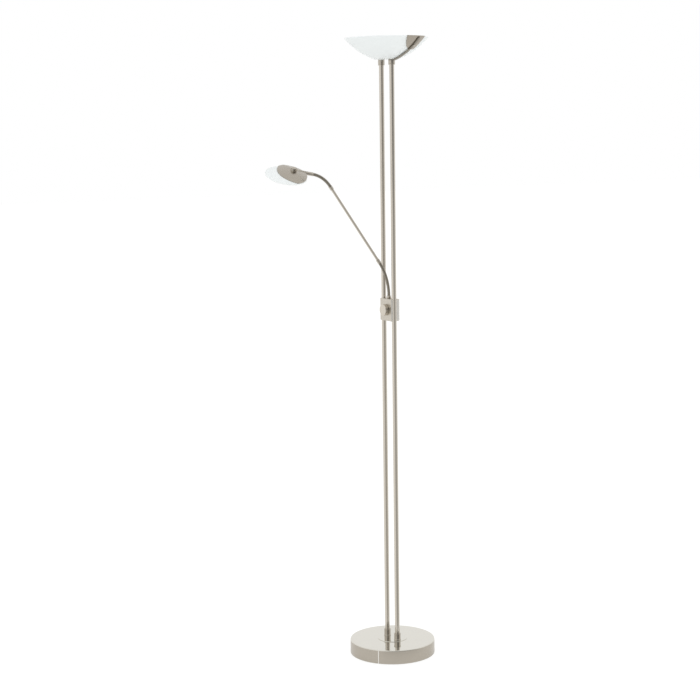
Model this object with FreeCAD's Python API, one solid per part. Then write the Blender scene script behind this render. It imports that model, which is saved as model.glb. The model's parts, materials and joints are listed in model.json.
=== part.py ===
import FreeCAD, Part
import os
from math import cos, radians, sin, sqrt

# Torchiere floor lamp with a reading light on a gooseneck arm.
# Millimetres. +Z up, origin under the middle of the base, the two poles stand along X and the
# dimmer knob and the arm point to -Y.

V = FreeCAD.Vector
X_AXIS, Y_AXIS, Z_AXIS = V(1, 0, 0), V(0, 1, 0), V(0, 0, 1)

# ---- driving dimensions -------------------------------------------------------------------

# clearances
FIT_GAP = 0.05              # a turned fit, on the radius
FREE_GAP = 0.3              # between faces that pass each other

# base
BASE_R = 125.0
BASE_TOP = 42.0
COVER_WALL = 1.2
COVER_LIFT = 1.5            # the cover hangs this far above the floor
COVER_EDGE_R = 2.5
PAD_INSET = 6.0             # of the felt pad from the edge of the base
PAD_T = 2.0
WEIGHT_INSET = 7.0
WEIGHT_T = 18.0
WEIGHT_BOSS_R = 14.0
DISC_R = 43.0
DISC_T = 1.2
GLAND_Z = 31.0
GLAND_BORE_R = 3.2
GLAND_NECK_R = 5.0
GLAND_LIP_R = 7.5
GLAND_LIP_T = 2.5

# poles
POLE_SPACING = 54.0
POLE_R = 7.0
POLE_WALL = 1.0
JOINER_LENGTH = 60.0
LEAD_R = 2.75
STUD_R = 5.0
STUD_BORE_R = 3.5
STUD_SLACK = 0.2            # round a stud in a plain hole
STUD_END = 1.0              # of thread past the last nut
NUT_SUNK = 2.5              # of the foot nuts above the pad
BUSH_LENGTH = 18.0
NUT_T = 6.0
NUT_ACROSS = 17.0
WASHER_R = 12.0
WASHER_T = 1.5
FOOT_COLLAR_R = 10.0
FOOT_COLLAR_HEIGHT = 20.0
COLLAR_LIP = 0.7            # how far the lips stand out from the waist
COLLAR_LIP_T = 2.2
COLLAR_FLOOR = 4.0
TOP_COLLAR_R = 9.5
TOP_COLLAR_HEIGHT = 12.0
TOP_COLLAR_FLOOR = 3.0

# bowl and the lamp in it
RIM_Z = 1800.0
RIM_R = 120.0
BOWL_DEPTH = 60.0
BOWL_FLOOR_R = 36.0
BELLY_OUT = 0.533           # a point that the outer arc passes through, as a share of the way
BELLY_UP = 0.392            # from the floor's edge out to the rim, and of the depth
GLASS_T = 4.0
RIM_ROUND = 1.6
BAR_T = 3.0
LEAF_T = 1.5
LEAF_GAP = 0.5              # between the glass and the leaf
GASKET_T = 1.5
INNER_GASKET_R = 8.0
PAN_R = 62.0
PAN_FLOOR_R = 37.5
PAN_CONE = 17.0             # height of the sloping part
PAN_HEIGHT = 24.0
PAN_WALL = 2.0
POST_R = 3.5
POST_RADIUS = 28.0
BOARD_T = 1.6
BOARD_R = 54.0
LED_SIZE = 4.0
LED_T = 0.8
LED_COUNT = 12
LED_RING_R = 38.0
DIFFUSER_HEIGHT = 20.0
DIFFUSER_WALL = 1.6
DIFFUSER_EDGE_R = 9.0

# bracket on the outside of the bowl
BAR_WIDTH = 7.5
BAR_AZIMUTH = 22.0
BAR_SHORT = 2.5             # of the rim, before its rounded end
LEAF_AZIMUTH = 21.0         # of the leaf's inner tip
LEAF_REACH = 36.5           # from the rim inwards to that tip, seen from above
LEAF_EDGE_R = 62.0
LEAF_SIDE_AZIMUTH = 30.0    # its straight side runs up the bowl
RIVET_R = 1.5
RIVET_HEAD_R = 2.4
RIVET_HEAD_T = 1.0
RIVET_PLACES = (30.0, 18.0)  # back from the end of the bar

# clamp and dimmer
CLAMP_Z = 1025.0
CLAMP_WIDTH = 59.0
CLAMP_HEIGHT = 64.0
CLAMP_FRONT = 11.5
CLAMP_BACK = 18.0
CLAMP_EDGE_R = 1.5
CLAMP_BACK_EDGE_R = 3.0
CLAMP_WALL = 2.6
CLAMP_TOP_WALL = 5.0
CLAMP_CAVITY = 32.0
CLAMP_FRONT_LIP = 5.0       # the side slot where the pole shows runs from here in front
CLAMP_BACK_LIP = 6.8        # of the poles' plane to here behind it
SCREW_R = 1.5
SCREW_HEAD_R = 2.8
SCREW_HEAD_T = 2.0
SCREW_BOSS_R = 3.2
SCREW_X = 12.2
SCREW_Z = 19.0
SCREW_SUNK = 0.4            # of the heads under the back face
SCREW_BLIND = 3.0           # of metal in front of the screw holes
DIMMER_SIZE = (26.0, 14.0, 26.0)
DIMMER_BUSH_R = 4.5
DIMMER_NUT_ACROSS = 12.0
DIMMER_NUT_T = 2.2
DIMMER_THREAD_END = 0.5     # of the threaded neck past its nut
SHAFT_SEAT = 5.0            # of the shaft inside the dimmer body
KNOB_FACE = 2.5             # of metal in front of the shaft
SHAFT_R = 3.0
KNOB_R = 16.5
KNOB_DEPTH = 10.5
KNOB_EDGE_R = 1.5
KNOB_RECESS_R = 10.0
KNOB_RECESS = 4.0
KNOB_GAP = 0.5

# arm
ARM_TILT = 35.8             # of the straight tube, from vertical
NECK_TILT = 80.0            # of the neck, from vertical
SWIVEL_PIN_R = 5.0
SWIVEL_FLANGE_R = 7.5
SWIVEL_FLANGE_T = 3.0
SWIVEL_CUP_R = 6.5
SWIVEL_CUP_HEIGHT = 8.0
SWIVEL_EDGE_R = 1.0
FLEX_R = 4.5
FLEX_BORE_R = 2.0
LOW_BEND_R = 165.0
LOW_PIECES = 3
TOP_BEND_R = 88.0
TOP_PIECES = 4
BALL_R = 4.3
SOCKET_R = 4.8
TUBE_R = 4.0
TUBE_WALL = 0.8
TUBE_LENGTH = 276.0
FERRULE_R = 5.3
FERRULE_LENGTH = 11.0
NECK_FERRULE_LENGTH = 21.0
NECK_PIN_R = 2.5
NECK_PIN_LENGTH = 5.0

# reading head
HEAD_R = 58.6
COVER_LIFT_OFF = 0.1        # of the cover above the glass
HEAD_AHEAD = 64.2           # from the end of the neck ferrule to the middle of the glass, along -Y
HEAD_DROP = 3.5             # from the end of the neck ferrule down to the glass
HEAD_PITCH = 2.0            # front lower
HEAD_ROLL = 23.8            # +X side lower
HEAD_GLASS_T = 4.0
HEAD_GLASS_ROUND = 1.4
COVER_FRONT_R = 80.0        # the free edge of the cover across the glass
COVER_FRONT = 18.0          # how far that edge bulges past the middle
COVER_SIDE = 1.5            # height of the free edge above the glass
COVER_SLOPE = 20.0          # rise of the cover at its free edge, in degrees
COVER_RIM = 5.0             # height of its round rim
COVER_CROWN = 14.0          # height of the wide dome over the middle
COVER_T = 1.6
RIDGE_R = 5.3               # of the ridge from the neck to the button, which widens a little
RIDGE_END_R = 6.4
BUTTON_R = 7.5
BUTTON_RIM_R = 9.0
BUTTON_BACK = 22.0
BUTTON_RIM_Z = 18.5
BUTTON_PROUD = 1.8
BUTTON_T = 8.5
BUTTON_TRAVEL = 1.5
BUTTON_EDGE_R = 1.0
SWITCH_R = 4.0
HEAD_BOARD_R = 20.0
HEAD_BOARD_T = 1.2
HEAD_PLATE_T = 1.5
HEAD_BOARD_BACK = 28.0
HEAD_LED_SIZE = 3.0
HEAD_LED_T = 0.5
HEAD_LED_COUNT = 8
HEAD_LED_RING_R = 14.0
HEAD_SCREW_R = 1.5
HEAD_SCREW_HEAD_R = 4.0
HEAD_SCREW_HEAD_T = 1.5
HEAD_BOSS_R = 3.5
HEAD_SCREW_SIDE = 36.0
HEAD_SCREW_BACK = 16.0
HEAD_SCREW_REACH = 3.2      # of the screws into the cover, above the glass

# ---- worked out from them -----------------------------------------------------------------

LEFT, RIGHT = -POLE_SPACING / 2, POLE_SPACING / 2
PAD_R, WEIGHT_R = BASE_R - PAD_INSET, BASE_R - WEIGHT_INSET
BOWL_FLOOR_Z = RIM_Z - BOWL_DEPTH
POLE_BORE_R = POLE_R - POLE_WALL
BUSH_R = POLE_BORE_R - FIT_GAP
STUD_HOLE_R = STUD_R + STUD_SLACK
DISC_TOP = BASE_TOP + DISC_T
FOOT_COLLAR_TOP = DISC_TOP + FOOT_COLLAR_HEIGHT
POLE_FOOT = DISC_TOP + COLLAR_FLOOR
BAR_OFFSET = LEAF_GAP + LEAF_T              # the leaf lies between the glass and the bar
TOP_COLLAR_TOP = BOWL_FLOOR_Z - BAR_OFFSET - BAR_T
POLE_END = TOP_COLLAR_TOP - TOP_COLLAR_FLOOR
BAR_LENGTH = (sqrt((RIM_R - BAR_SHORT) ** 2 - (RIGHT * sin(radians(BAR_AZIMUTH))) ** 2)
              - RIGHT * cos(radians(BAR_AZIMUTH)))
LEAF_TIP_R = RIM_R - LEAF_REACH


# ---- small helpers ------------------------------------------------------------------------

def rod(radius, bottom, top, x=0.0, y=0.0):
    return Part.makeCylinder(radius, top - bottom, V(x, y, bottom))


def ring(outer, inner, bottom, top, x=0.0, y=0.0):
    return rod(outer, bottom, top, x, y).cut(rod(inner, bottom - 1, top + 1, x, y))


def block(x0, x1, y0, y1, z0, z1):
    return Part.makeBox(x1 - x0, y1 - y0, z1 - z0, V(x0, y0, z0))


def hexagon(across, bottom, top, x=0.0, y=0.0):
    reach = across / sqrt(3)
    corners = [V(x + reach * cos(radians(60 * i)), y + reach * sin(radians(60 * i)), bottom)
               for i in range(7)]
    return Part.Face(Part.makePolygon(corners)).extrude(V(0, 0, top - bottom))


def turned(points):
    """A body of revolution about Z from a closed list of (radius, height)."""
    outline = Part.makePolygon([V(r, 0, z) for r, z in points + points[:1]])
    return Part.Face(outline).revolve(V(0, 0, 0), Z_AXIS, 360)


def round_edges(body, radius, wanted):
    edges = [e for e in body.Edges if wanted(e)]
    return body.makeFillet(radius, edges)


def flat_circle_at(height, radius=None):
    def wanted(edge):
        box = edge.BoundBox
        level = abs(box.ZMin - height) < 1e-4 and abs(box.ZMax - height) < 1e-4
        right_size = radius is None or abs(box.XLength / 2 - radius) < 1e-3
        return level and right_size
    return wanted


def facing_front(body, height=0.0):
    """Turns a body made along +Z so that it points to -Y, at a height."""
    body.rotate(V(0, 0, 0), X_AXIS, 90)
    body.translate(V(0, 0, height))
    return body


def save(name, *bodies):
    shape = bodies[0] if len(bodies) == 1 else Part.makeCompound(list(bodies))
    shape.exportStep("parts/%s.step" % name)
    print("%-20s solids %2d  volume %10.0f" % (name, len(shape.Solids), shape.Volume))


def at_both_poles(make):
    return make(LEFT), make(RIGHT)


# ---- base ---------------------------------------------------------------------------------

def base():
    cover_under = BASE_TOP - COVER_WALL
    weight_top = PAD_T + WEIGHT_T
    nut_roof = PAD_T + NUT_SUNK + NUT_T + WASHER_T

    save("base_pad", rod(PAD_R, 0, PAD_T))

    weight = rod(WEIGHT_R, PAD_T, weight_top)
    for x in (LEFT, RIGHT):
        weight = weight.fuse(rod(WEIGHT_BOSS_R, weight_top, cover_under, x))
    for x in (LEFT, RIGHT):
        weight = weight.cut(rod(STUD_HOLE_R, 0, BASE_TOP, x))
        weight = weight.cut(rod(WASHER_R + 1, PAD_T - 1, nut_roof, x))
    save("base_weight", weight.removeSplitter())

    outer = round_edges(rod(BASE_R, COVER_LIFT, BASE_TOP), COVER_EDGE_R, flat_circle_at(BASE_TOP))
    inner = rod(BASE_R - COVER_WALL, COVER_LIFT - 1, cover_under)
    inner = round_edges(inner, COVER_EDGE_R - COVER_WALL, flat_circle_at(cover_under))
    cover = outer.cut(inner)
    for x in (LEFT, RIGHT):
        cover = cover.cut(rod(STUD_HOLE_R, 0, BASE_TOP + 1, x))
    inlet = Part.makeCylinder(GLAND_NECK_R + FIT_GAP, 20, V(0, BASE_R - 10, GLAND_Z), Y_AXIS)
    save("base_cover", cover.cut(inlet))

    disc = rod(DISC_R, BASE_TOP, DISC_TOP)
    disc = round_edges(disc, DISC_T / 2, flat_circle_at(DISC_TOP))
    for x in (LEFT, RIGHT):
        disc = disc.cut(rod(STUD_HOLE_R, BASE_TOP - 1, DISC_TOP + 1, x))
    save("base_disc", disc)

    # the gland has a groove that grips the wall of the cover
    sag = BASE_R - sqrt(BASE_R ** 2 - GLAND_LIP_R ** 2)
    outside = BASE_R + 0.05
    inside = BASE_R - COVER_WALL - sag - 0.05
    gland = turned([(GLAND_BORE_R, inside - GLAND_LIP_T), (GLAND_LIP_R, inside - GLAND_LIP_T),
                    (GLAND_LIP_R, inside), (GLAND_NECK_R, inside), (GLAND_NECK_R, outside),
                    (GLAND_LIP_R, outside), (GLAND_LIP_R - 1, outside + GLAND_LIP_T),
                    (GLAND_BORE_R, outside + GLAND_LIP_T)])
    gland.rotate(V(0, 0, 0), X_AXIS, -90)
    gland.translate(V(0, 0, GLAND_Z))
    save("cable_gland", gland)

    washer_bottom = nut_roof - WASHER_T
    nut_bottom = washer_bottom - NUT_T
    bore = STUD_R + FIT_GAP
    save("foot_washers", *at_both_poles(lambda x: ring(WASHER_R, bore, washer_bottom, nut_roof, x)))
    save("foot_nuts", *at_both_poles(
        lambda x: hexagon(NUT_ACROSS, nut_bottom, washer_bottom, x).cut(rod(bore, 0, BASE_TOP, x))))
    stud_top = POLE_FOOT + BUSH_LENGTH
    save("foot_studs", *at_both_poles(lambda x: ring(STUD_R, STUD_BORE_R, nut_bottom - STUD_END, stud_top, x)))

    waist = FOOT_COLLAR_R - COLLAR_LIP
    profile = [(STUD_HOLE_R, DISC_TOP), (FOOT_COLLAR_R, DISC_TOP),
               (FOOT_COLLAR_R, DISC_TOP + COLLAR_LIP_T), (waist, DISC_TOP + COLLAR_LIP_T + 0.5),
               (waist, FOOT_COLLAR_TOP - COLLAR_LIP_T - 0.5),
               (FOOT_COLLAR_R, FOOT_COLLAR_TOP - COLLAR_LIP_T),
               (FOOT_COLLAR_R, FOOT_COLLAR_TOP - 0.4), (FOOT_COLLAR_R - 0.4, FOOT_COLLAR_TOP),
               (POLE_R + FIT_GAP, FOOT_COLLAR_TOP), (POLE_R + FIT_GAP, POLE_FOOT),
               (STUD_HOLE_R, POLE_FOOT)]

    def collar(x):
        body = turned(profile)
        body.translate(V(x, 0, 0))
        return body
    save("foot_collars", *at_both_poles(collar))


# ---- poles --------------------------------------------------------------------------------

def poles():
    for side, x in (("left", LEFT), ("right", RIGHT)):
        save("pole_lower_" + side, ring(POLE_R, POLE_BORE_R, POLE_FOOT, CLAMP_Z, x))
        save("pole_upper_" + side, ring(POLE_R, POLE_BORE_R, CLAMP_Z, POLE_END, x))
    half = JOINER_LENGTH / 2
    save("pole_joiners", *at_both_poles(
        lambda x: ring(BUSH_R, STUD_BORE_R, CLAMP_Z - half, CLAMP_Z + half, x)))
    bushes = []
    for x in (LEFT, RIGHT):
        bushes.append(ring(BUSH_R, STUD_R + FIT_GAP, POLE_FOOT, POLE_FOOT + BUSH_LENGTH, x))
        bushes.append(ring(BUSH_R, STUD_R + FIT_GAP, POLE_END - BUSH_LENGTH, POLE_END, x))
    save("pole_bushes", *bushes)
    lead_start = PAD_T + NUT_SUNK
    save("mains_lead", rod(LEAD_R, lead_start, CLAMP_Z + half, LEFT))
    save("bowl_lead", rod(LEAD_R, CLAMP_Z - half, stud_end(), RIGHT))


def stud_end():
    """The top of the hollow studs that carry the bowl."""
    return BOWL_FLOOR_Z + GLASS_T + GASKET_T + PAN_WALL + WASHER_T + NUT_T + STUD_END


# ---- bowl ---------------------------------------------------------------------------------

def bowl_arc():
    """Centre and radius of the arc of the bowl's outside, in (radius, height)."""
    belly = (BOWL_FLOOR_R + BELLY_OUT * (RIM_R - BOWL_FLOOR_R), BOWL_FLOOR_Z + BELLY_UP * BOWL_DEPTH)
    points = ((BOWL_FLOOR_R, BOWL_FLOOR_Z), belly, (RIM_R, RIM_Z))
    (ax, ay), (bx, by), (cx, cy) = points
    d = 2 * (ax * (by - cy) + bx * (cy - ay) + cx * (ay - by))
    a2, b2, c2 = ax ** 2 + ay ** 2, bx ** 2 + by ** 2, cx ** 2 + cy ** 2
    ux = (a2 * (by - cy) + b2 * (cy - ay) + c2 * (ay - by)) / d
    uy = (a2 * (cx - bx) + b2 * (ax - cx) + c2 * (bx - ax)) / d
    return ux, uy, sqrt((ax - ux) ** 2 + (ay - uy) ** 2)


ARC_R, ARC_Z, ARC_RADIUS = bowl_arc()


def bowl_radius(offset, height):
    """Radius of the surface that lies an offset outside the glass, at a height."""
    return ARC_R + sqrt((ARC_RADIUS + offset) ** 2 - (height - ARC_Z) ** 2)


def bowl_curve(offset, top):
    """The outline from the axis along the floor and up the arc, as edges and its end points."""
    floor = BOWL_FLOOR_Z - offset
    corner = bowl_radius(offset, floor)
    middle = (floor + top) / 2
    end = V(bowl_radius(offset, top), 0, top)
    start, bend = V(0, 0, floor), V(corner, 0, floor)
    line = Part.LineSegment(start, bend).toShape()
    arc = Part.Arc(bend, V(bowl_radius(offset, middle), 0, middle), end).toShape()
    return start, [line, arc], end


def bowl_shell(near, far, top):
    """A skin that follows the bowl between two offsets from its outer face."""
    near_start, near_edges, near_end = bowl_curve(near, top)
    far_start, far_edges, far_end = bowl_curve(far, top)
    edges = near_edges + [Part.LineSegment(near_end, far_end).toShape()] + far_edges[::-1]
    edges.append(Part.LineSegment(far_start, near_start).toShape())
    face = Part.Face(Part.Wire(Part.__sortEdges__(edges)))
    return face.revolve(V(0, 0, 0), Z_AXIS, 360)


def bowl():
    glass = bowl_shell(-GLASS_T, 0, RIM_Z)
    glass = round_edges(glass, RIM_ROUND, flat_circle_at(RIM_Z))
    for x in (LEFT, RIGHT):
        glass = glass.cut(rod(STUD_HOLE_R, BOWL_FLOOR_Z - 5, BOWL_FLOOR_Z + 10, x))
    save("bowl_glass", glass)

    def collar(x):
        low = TOP_COLLAR_TOP - TOP_COLLAR_HEIGHT
        body = turned([(POLE_R + FIT_GAP, low), (TOP_COLLAR_R - 0.5, low), (TOP_COLLAR_R, low + 0.5),
                       (TOP_COLLAR_R, TOP_COLLAR_TOP), (STUD_HOLE_R, TOP_COLLAR_TOP),
                       (STUD_HOLE_R, POLE_END), (POLE_R + FIT_GAP, POLE_END)])
        body.translate(V(x, 0, 0))
        return body
    save("top_collars", *at_both_poles(collar))
    save("bowl_studs", *at_both_poles(
        lambda x: ring(STUD_R, STUD_BORE_R, POLE_END - BUSH_LENGTH, stud_end(), x)))

    # silicone below and above the glass, and a plain ring where the other pole has the bar
    bar_top = TOP_COLLAR_TOP + BAR_T
    glass_top = BOWL_FLOOR_Z + GLASS_T
    gaskets = []
    for x in (LEFT, RIGHT):
        gaskets.append(ring(TOP_COLLAR_R, STUD_HOLE_R, bar_top, BOWL_FLOOR_Z, x))
        gaskets.append(ring(INNER_GASKET_R, STUD_HOLE_R, glass_top, glass_top + GASKET_T, x))
    save("bowl_gaskets", *gaskets)
    save("bowl_spacer", ring(TOP_COLLAR_R, STUD_HOLE_R, TOP_COLLAR_TOP, bar_top, LEFT))


def polar(radius, azimuth, height=0.0):
    return V(radius * cos(radians(azimuth)), radius * sin(radians(azimuth)), height)


def bracket():
    low, high = BOWL_FLOOR_Z - 20, RIM_Z + 5
    strip = block(0, BAR_LENGTH, -BAR_WIDTH / 2, BAR_WIDTH / 2, low, high)
    strip = strip.fuse(rod(BAR_WIDTH / 2, low, high, BAR_LENGTH))
    strip = strip.fuse(rod(TOP_COLLAR_R, low, high))
    strip.rotate(V(0, 0, 0), Z_AXIS, BAR_AZIMUTH)
    strip.translate(V(RIGHT, 0, 0))
    bar = bowl_shell(BAR_OFFSET, BAR_OFFSET + BAR_T, RIM_Z).common(strip)
    bar = bar.cut(rod(STUD_HOLE_R, low, high, RIGHT))

    tip = polar(LEAF_TIP_R + LEAF_EDGE_R, LEAF_AZIMUTH)
    outline = rod(LEAF_EDGE_R, low, high, tip.x, tip.y)
    side = block(0, 2 * RIM_R, -2 * RIM_R, 0, low, high)
    side.rotate(V(0, 0, 0), Z_AXIS, LEAF_SIDE_AZIMUTH)
    outline = outline.common(side)
    leaf = bowl_shell(BAR_OFFSET - LEAF_T, BAR_OFFSET, RIM_Z).common(outline)

    rivets = []
    for back in RIVET_PLACES:
        place = V(RIGHT, 0, 0) + polar(BAR_LENGTH - back, BAR_AZIMUTH)
        radius = sqrt(place.x ** 2 + place.y ** 2)
        height = ARC_Z - sqrt((ARC_RADIUS + BAR_OFFSET) ** 2 - (radius - ARC_R) ** 2)
        inward = V(-place.x / radius, -place.y / radius, 0) * (radius - ARC_R) + V(0, 0, ARC_Z - height)
        outward = inward.normalize() * -1
        on_leaf = V(place.x, place.y, height)
        start = on_leaf - outward * (LEAF_T - 0.2)
        length = LEAF_T - 0.2 + BAR_T + 0.1
        hole = Part.makeCylinder(RIVET_R + FIT_GAP, length + 10, start - outward * 5, outward)
        bar, leaf = bar.cut(hole), leaf.cut(hole)
        shank = Part.makeCylinder(RIVET_R, length, start, outward)
        head = Part.makeCylinder(RIVET_HEAD_R, RIVET_HEAD_T, start + outward * length, outward)
        rivets.append(shank.fuse(head).removeSplitter())
    save("bracket_bar", bar)
    save("bracket_leaf", leaf)
    save("bracket_rivets", *rivets)


def uplight():
    floor = BOWL_FLOOR_Z + GLASS_T + GASKET_T
    deck = floor + PAN_CONE + 2.0
    inner_floor, inner_cone = floor + PAN_WALL, floor + PAN_CONE + PAN_WALL / 2
    pan = turned([(0, floor), (PAN_FLOOR_R, floor), (PAN_R, floor + PAN_CONE), (PAN_R, floor + PAN_HEIGHT),
                  (PAN_R - PAN_WALL, floor + PAN_HEIGHT), (PAN_R - PAN_WALL, inner_cone),
                  (PAN_FLOOR_R - PAN_WALL / 2, inner_floor), (0, inner_floor)])
    for azimuth in (60, 120, 240, 300):
        post = polar(POST_RADIUS, azimuth)
        pan = pan.fuse(rod(POST_R, inner_floor, deck, post.x, post.y))
    for x in (LEFT, RIGHT):
        pan = pan.cut(rod(STUD_HOLE_R, floor - 1, floor + PAN_WALL + 1, x))
    save("lamp_pan", pan.removeSplitter())

    washer = inner_floor
    nuts = []
    for x in (LEFT, RIGHT):
        bore = rod(STUD_R + FIT_GAP, floor, RIM_Z, x)
        nut = hexagon(NUT_ACROSS, washer + WASHER_T, washer + WASHER_T + NUT_T, x)
        nuts.append(rod(NUT_ACROSS / 2, washer, washer + WASHER_T, x).cut(bore))
        nuts.append(nut.cut(bore))
    save("lamp_nuts", *nuts)
    save("lamp_board", rod(BOARD_R, deck, deck + BOARD_T))
    chips = []
    for i in range(LED_COUNT):
        place = polar(LED_RING_R, 360.0 * i / LED_COUNT)
        half = LED_SIZE / 2
        chips.append(block(place.x - half, place.x + half, place.y - half, place.y + half,
                           deck + BOARD_T, deck + BOARD_T + LED_T))
    save("lamp_leds", *chips)

    # the opal cap slips over the pan
    skirt = floor + PAN_CONE + 1.0
    inner_r = PAN_R + FREE_GAP
    roof = skirt + DIFFUSER_HEIGHT
    outer = round_edges(rod(inner_r + DIFFUSER_WALL, skirt, roof), DIFFUSER_EDGE_R, flat_circle_at(roof))
    inner = rod(inner_r, skirt - 1, roof - DIFFUSER_WALL)
    inner = round_edges(inner, DIFFUSER_EDGE_R - DIFFUSER_WALL, flat_circle_at(roof - DIFFUSER_WALL))
    save("lamp_diffuser", outer.cut(inner))


# ---- clamp and dimmer ---------------------------------------------------------------------

def clamp_half(front):
    """One half of the clamp: front from the parting plane to -Y, back to +Y."""
    reach = CLAMP_FRONT if front else CLAMP_BACK
    y0, y1 = (-reach, 0.0) if front else (0.0, reach)
    half_x, half_z = CLAMP_WIDTH / 2, CLAMP_HEIGHT / 2
    z0, z1 = CLAMP_Z - half_z, CLAMP_Z + half_z
    face_y = y0 if front else y1
    body = block(-half_x, half_x, y0, y1, z0, z1)

    def outer_edge(edge):
        box = edge.BoundBox
        on_face = abs(box.YMin - face_y) < 1e-4 and abs(box.YMax - face_y) < 1e-4
        upright_corner = box.XLength < 1e-4 and box.ZLength < 1e-4
        return on_face or upright_corner
    edge_r = CLAMP_EDGE_R if front else CLAMP_BACK_EDGE_R
    body = round_edges(body, edge_r, outer_edge)

    # side slots first, then the round channels for the poles
    for side in (-1, 1):
        x_in, x_out = sorted((side * RIGHT, side * (half_x + 1)))
        body = body.cut(block(x_in, x_out, -CLAMP_FRONT_LIP, CLAMP_BACK_LIP, z0 - 1, z1 + 1))
    for x in (LEFT, RIGHT):
        body = body.cut(rod(POLE_R + FIT_GAP, z0 - 1, z1 + 1, x))

    # room inside for the dimmer
    cavity = CLAMP_CAVITY / 2
    depth = reach - CLAMP_WALL
    c0, c1 = (-depth, 0.5) if front else (-0.5, depth)
    floor, roof = z0 + CLAMP_WALL, z1 - CLAMP_TOP_WALL
    body = body.cut(block(-cavity, cavity, c0, c1, floor, roof))
    bosses = []
    for x in (-SCREW_X, SCREW_X):
        for z in (CLAMP_Z - SCREW_Z, CLAMP_Z + SCREW_Z):
            start = V(x, y0 + CLAMP_WALL / 2 if front else 0, z)
            bosses.append(Part.makeCylinder(SCREW_BOSS_R, reach - CLAMP_WALL / 2, start, Y_AXIS))
    body = body.fuse(bosses).removeSplitter()
    for x in (-SCREW_X, SCREW_X):
        for z in (CLAMP_Z - SCREW_Z, CLAMP_Z + SCREW_Z):
            deep = -(CLAMP_FRONT - SCREW_BLIND)
            hole = Part.makeCylinder(SCREW_R + FIT_GAP, 2 * CLAMP_BACK, V(x, deep, z), Y_AXIS)
            body = body.cut(hole)
            head = V(x, CLAMP_BACK - SCREW_HEAD_T - SCREW_SUNK, z)
            body = body.cut(Part.makeCylinder(SCREW_HEAD_R + FREE_GAP, CLAMP_BACK, head, Y_AXIS))
    # half of the bearing for the arm
    body = body.cut(rod(SWIVEL_PIN_R + FIT_GAP, roof - 1, z1 + 1))
    if front:
        hole = Part.makeCylinder(DIMMER_BUSH_R + FIT_GAP, 20, V(0, -CLAMP_FRONT - 5, CLAMP_Z), Y_AXIS)
        body = body.cut(hole)
    return body


def clamp():
    save("clamp_front", clamp_half(True))
    save("clamp_back", clamp_half(False))
    screws = []
    for x in (-SCREW_X, SCREW_X):
        for z in (CLAMP_Z - SCREW_Z, CLAMP_Z + SCREW_Z):
            under_head = CLAMP_BACK - SCREW_HEAD_T - SCREW_SUNK
            tip = -(CLAMP_FRONT - SCREW_BLIND - FREE_GAP)
            shank = Part.makeCylinder(SCREW_R, under_head - tip, V(x, tip, z), Y_AXIS)
            head = Part.makeCylinder(SCREW_HEAD_R, SCREW_HEAD_T, V(x, under_head, z), Y_AXIS)
            screws.append(shank.fuse(head).removeSplitter())
    save("clamp_screws", *screws)

    # dimmer, made along +Z and then turned to the front: heights here are distances to -Y
    wide, deep, tall = DIMMER_SIZE
    inner_face = CLAMP_FRONT - CLAMP_WALL
    nut_end = CLAMP_FRONT + DIMMER_NUT_T
    body = block(-wide / 2, wide / 2, -tall / 2, tall / 2, inner_face - deep, inner_face)
    body = body.fuse(rod(DIMMER_BUSH_R, inner_face, nut_end + DIMMER_THREAD_END))
    shaft_end = CLAMP_FRONT + KNOB_GAP + KNOB_DEPTH - KNOB_FACE
    body = body.cut(rod(SHAFT_R + FIT_GAP, inner_face - SHAFT_SEAT, shaft_end))
    save("dimmer_body", facing_front(body.removeSplitter(), CLAMP_Z))
    nut = hexagon(DIMMER_NUT_ACROSS, CLAMP_FRONT, nut_end).cut(rod(DIMMER_BUSH_R + FIT_GAP, 0, 2 * nut_end))
    save("dimmer_nut", facing_front(nut, CLAMP_Z))
    save("dimmer_shaft", facing_front(rod(SHAFT_R, inner_face - SHAFT_SEAT + FREE_GAP, shaft_end), CLAMP_Z))

    back = CLAMP_FRONT + KNOB_GAP
    front = back + KNOB_DEPTH
    knob = round_edges(rod(KNOB_R, back, front), KNOB_EDGE_R, flat_circle_at(front))
    knob = knob.cut(rod(KNOB_RECESS_R, back - 1, back + KNOB_RECESS))
    knob = knob.cut(rod(SHAFT_R + FIT_GAP, back, shaft_end + FIT_GAP))
    save("dimmer_knob", facing_front(knob, CLAMP_Z))


# ---- arm ----------------------------------------------------------------------------------

def heading(tilt):
    """Unit vector in the arm's plane, from a tilt away from vertical towards -Y."""
    return V(0, -sin(radians(tilt)), cos(radians(tilt)))


def bend_end(start, tilt, turn, radius):
    """Where a bend that starts at a place and tilt ends after a turn forward."""
    centre = start + heading(tilt + 90) * radius
    return centre - heading(tilt + turn + 90) * radius


def bend_piece(turn, radius, thickness):
    """A curved rod that leaves the origin upwards and bends towards -Y."""
    section = Part.Face(Part.Wire(Part.makeCircle(thickness, V(0, 0, 0), Z_AXIS)))
    return section.revolve(heading(90) * radius, X_AXIS, turn)


def flex_pieces(name, start, tilt, turn, radius, count):
    """A flexible length as short pieces, each with a ball that sits in the next one's socket."""
    step = turn / count
    for i in range(count):
        tip = bend_end(V(0, 0, 0), 0.0, step, radius)
        piece = bend_piece(step, radius, FLEX_R)
        bore = bend_piece(step, radius, FLEX_BORE_R)
        if i > 0:
            piece = piece.cut(Part.makeSphere(SOCKET_R))
        if i < count - 1:
            piece = piece.fuse(Part.makeSphere(BALL_R, tip)).removeSplitter()
            piece = piece.cut(Part.makeCylinder(FLEX_BORE_R, SOCKET_R, tip, heading(step)))
        piece = piece.cut(bore)
        piece.rotate(V(0, 0, 0), X_AXIS, tilt)
        piece.translate(start)
        save("%s_%d" % (name, i + 1), piece)
        start, tilt = bend_end(start, tilt, step, radius), tilt + step
        if i < count - 1:
            print("   pivot %s_%d  %.3f %.3f" % (name, i + 1, start.y, start.z))
    return start


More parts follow.
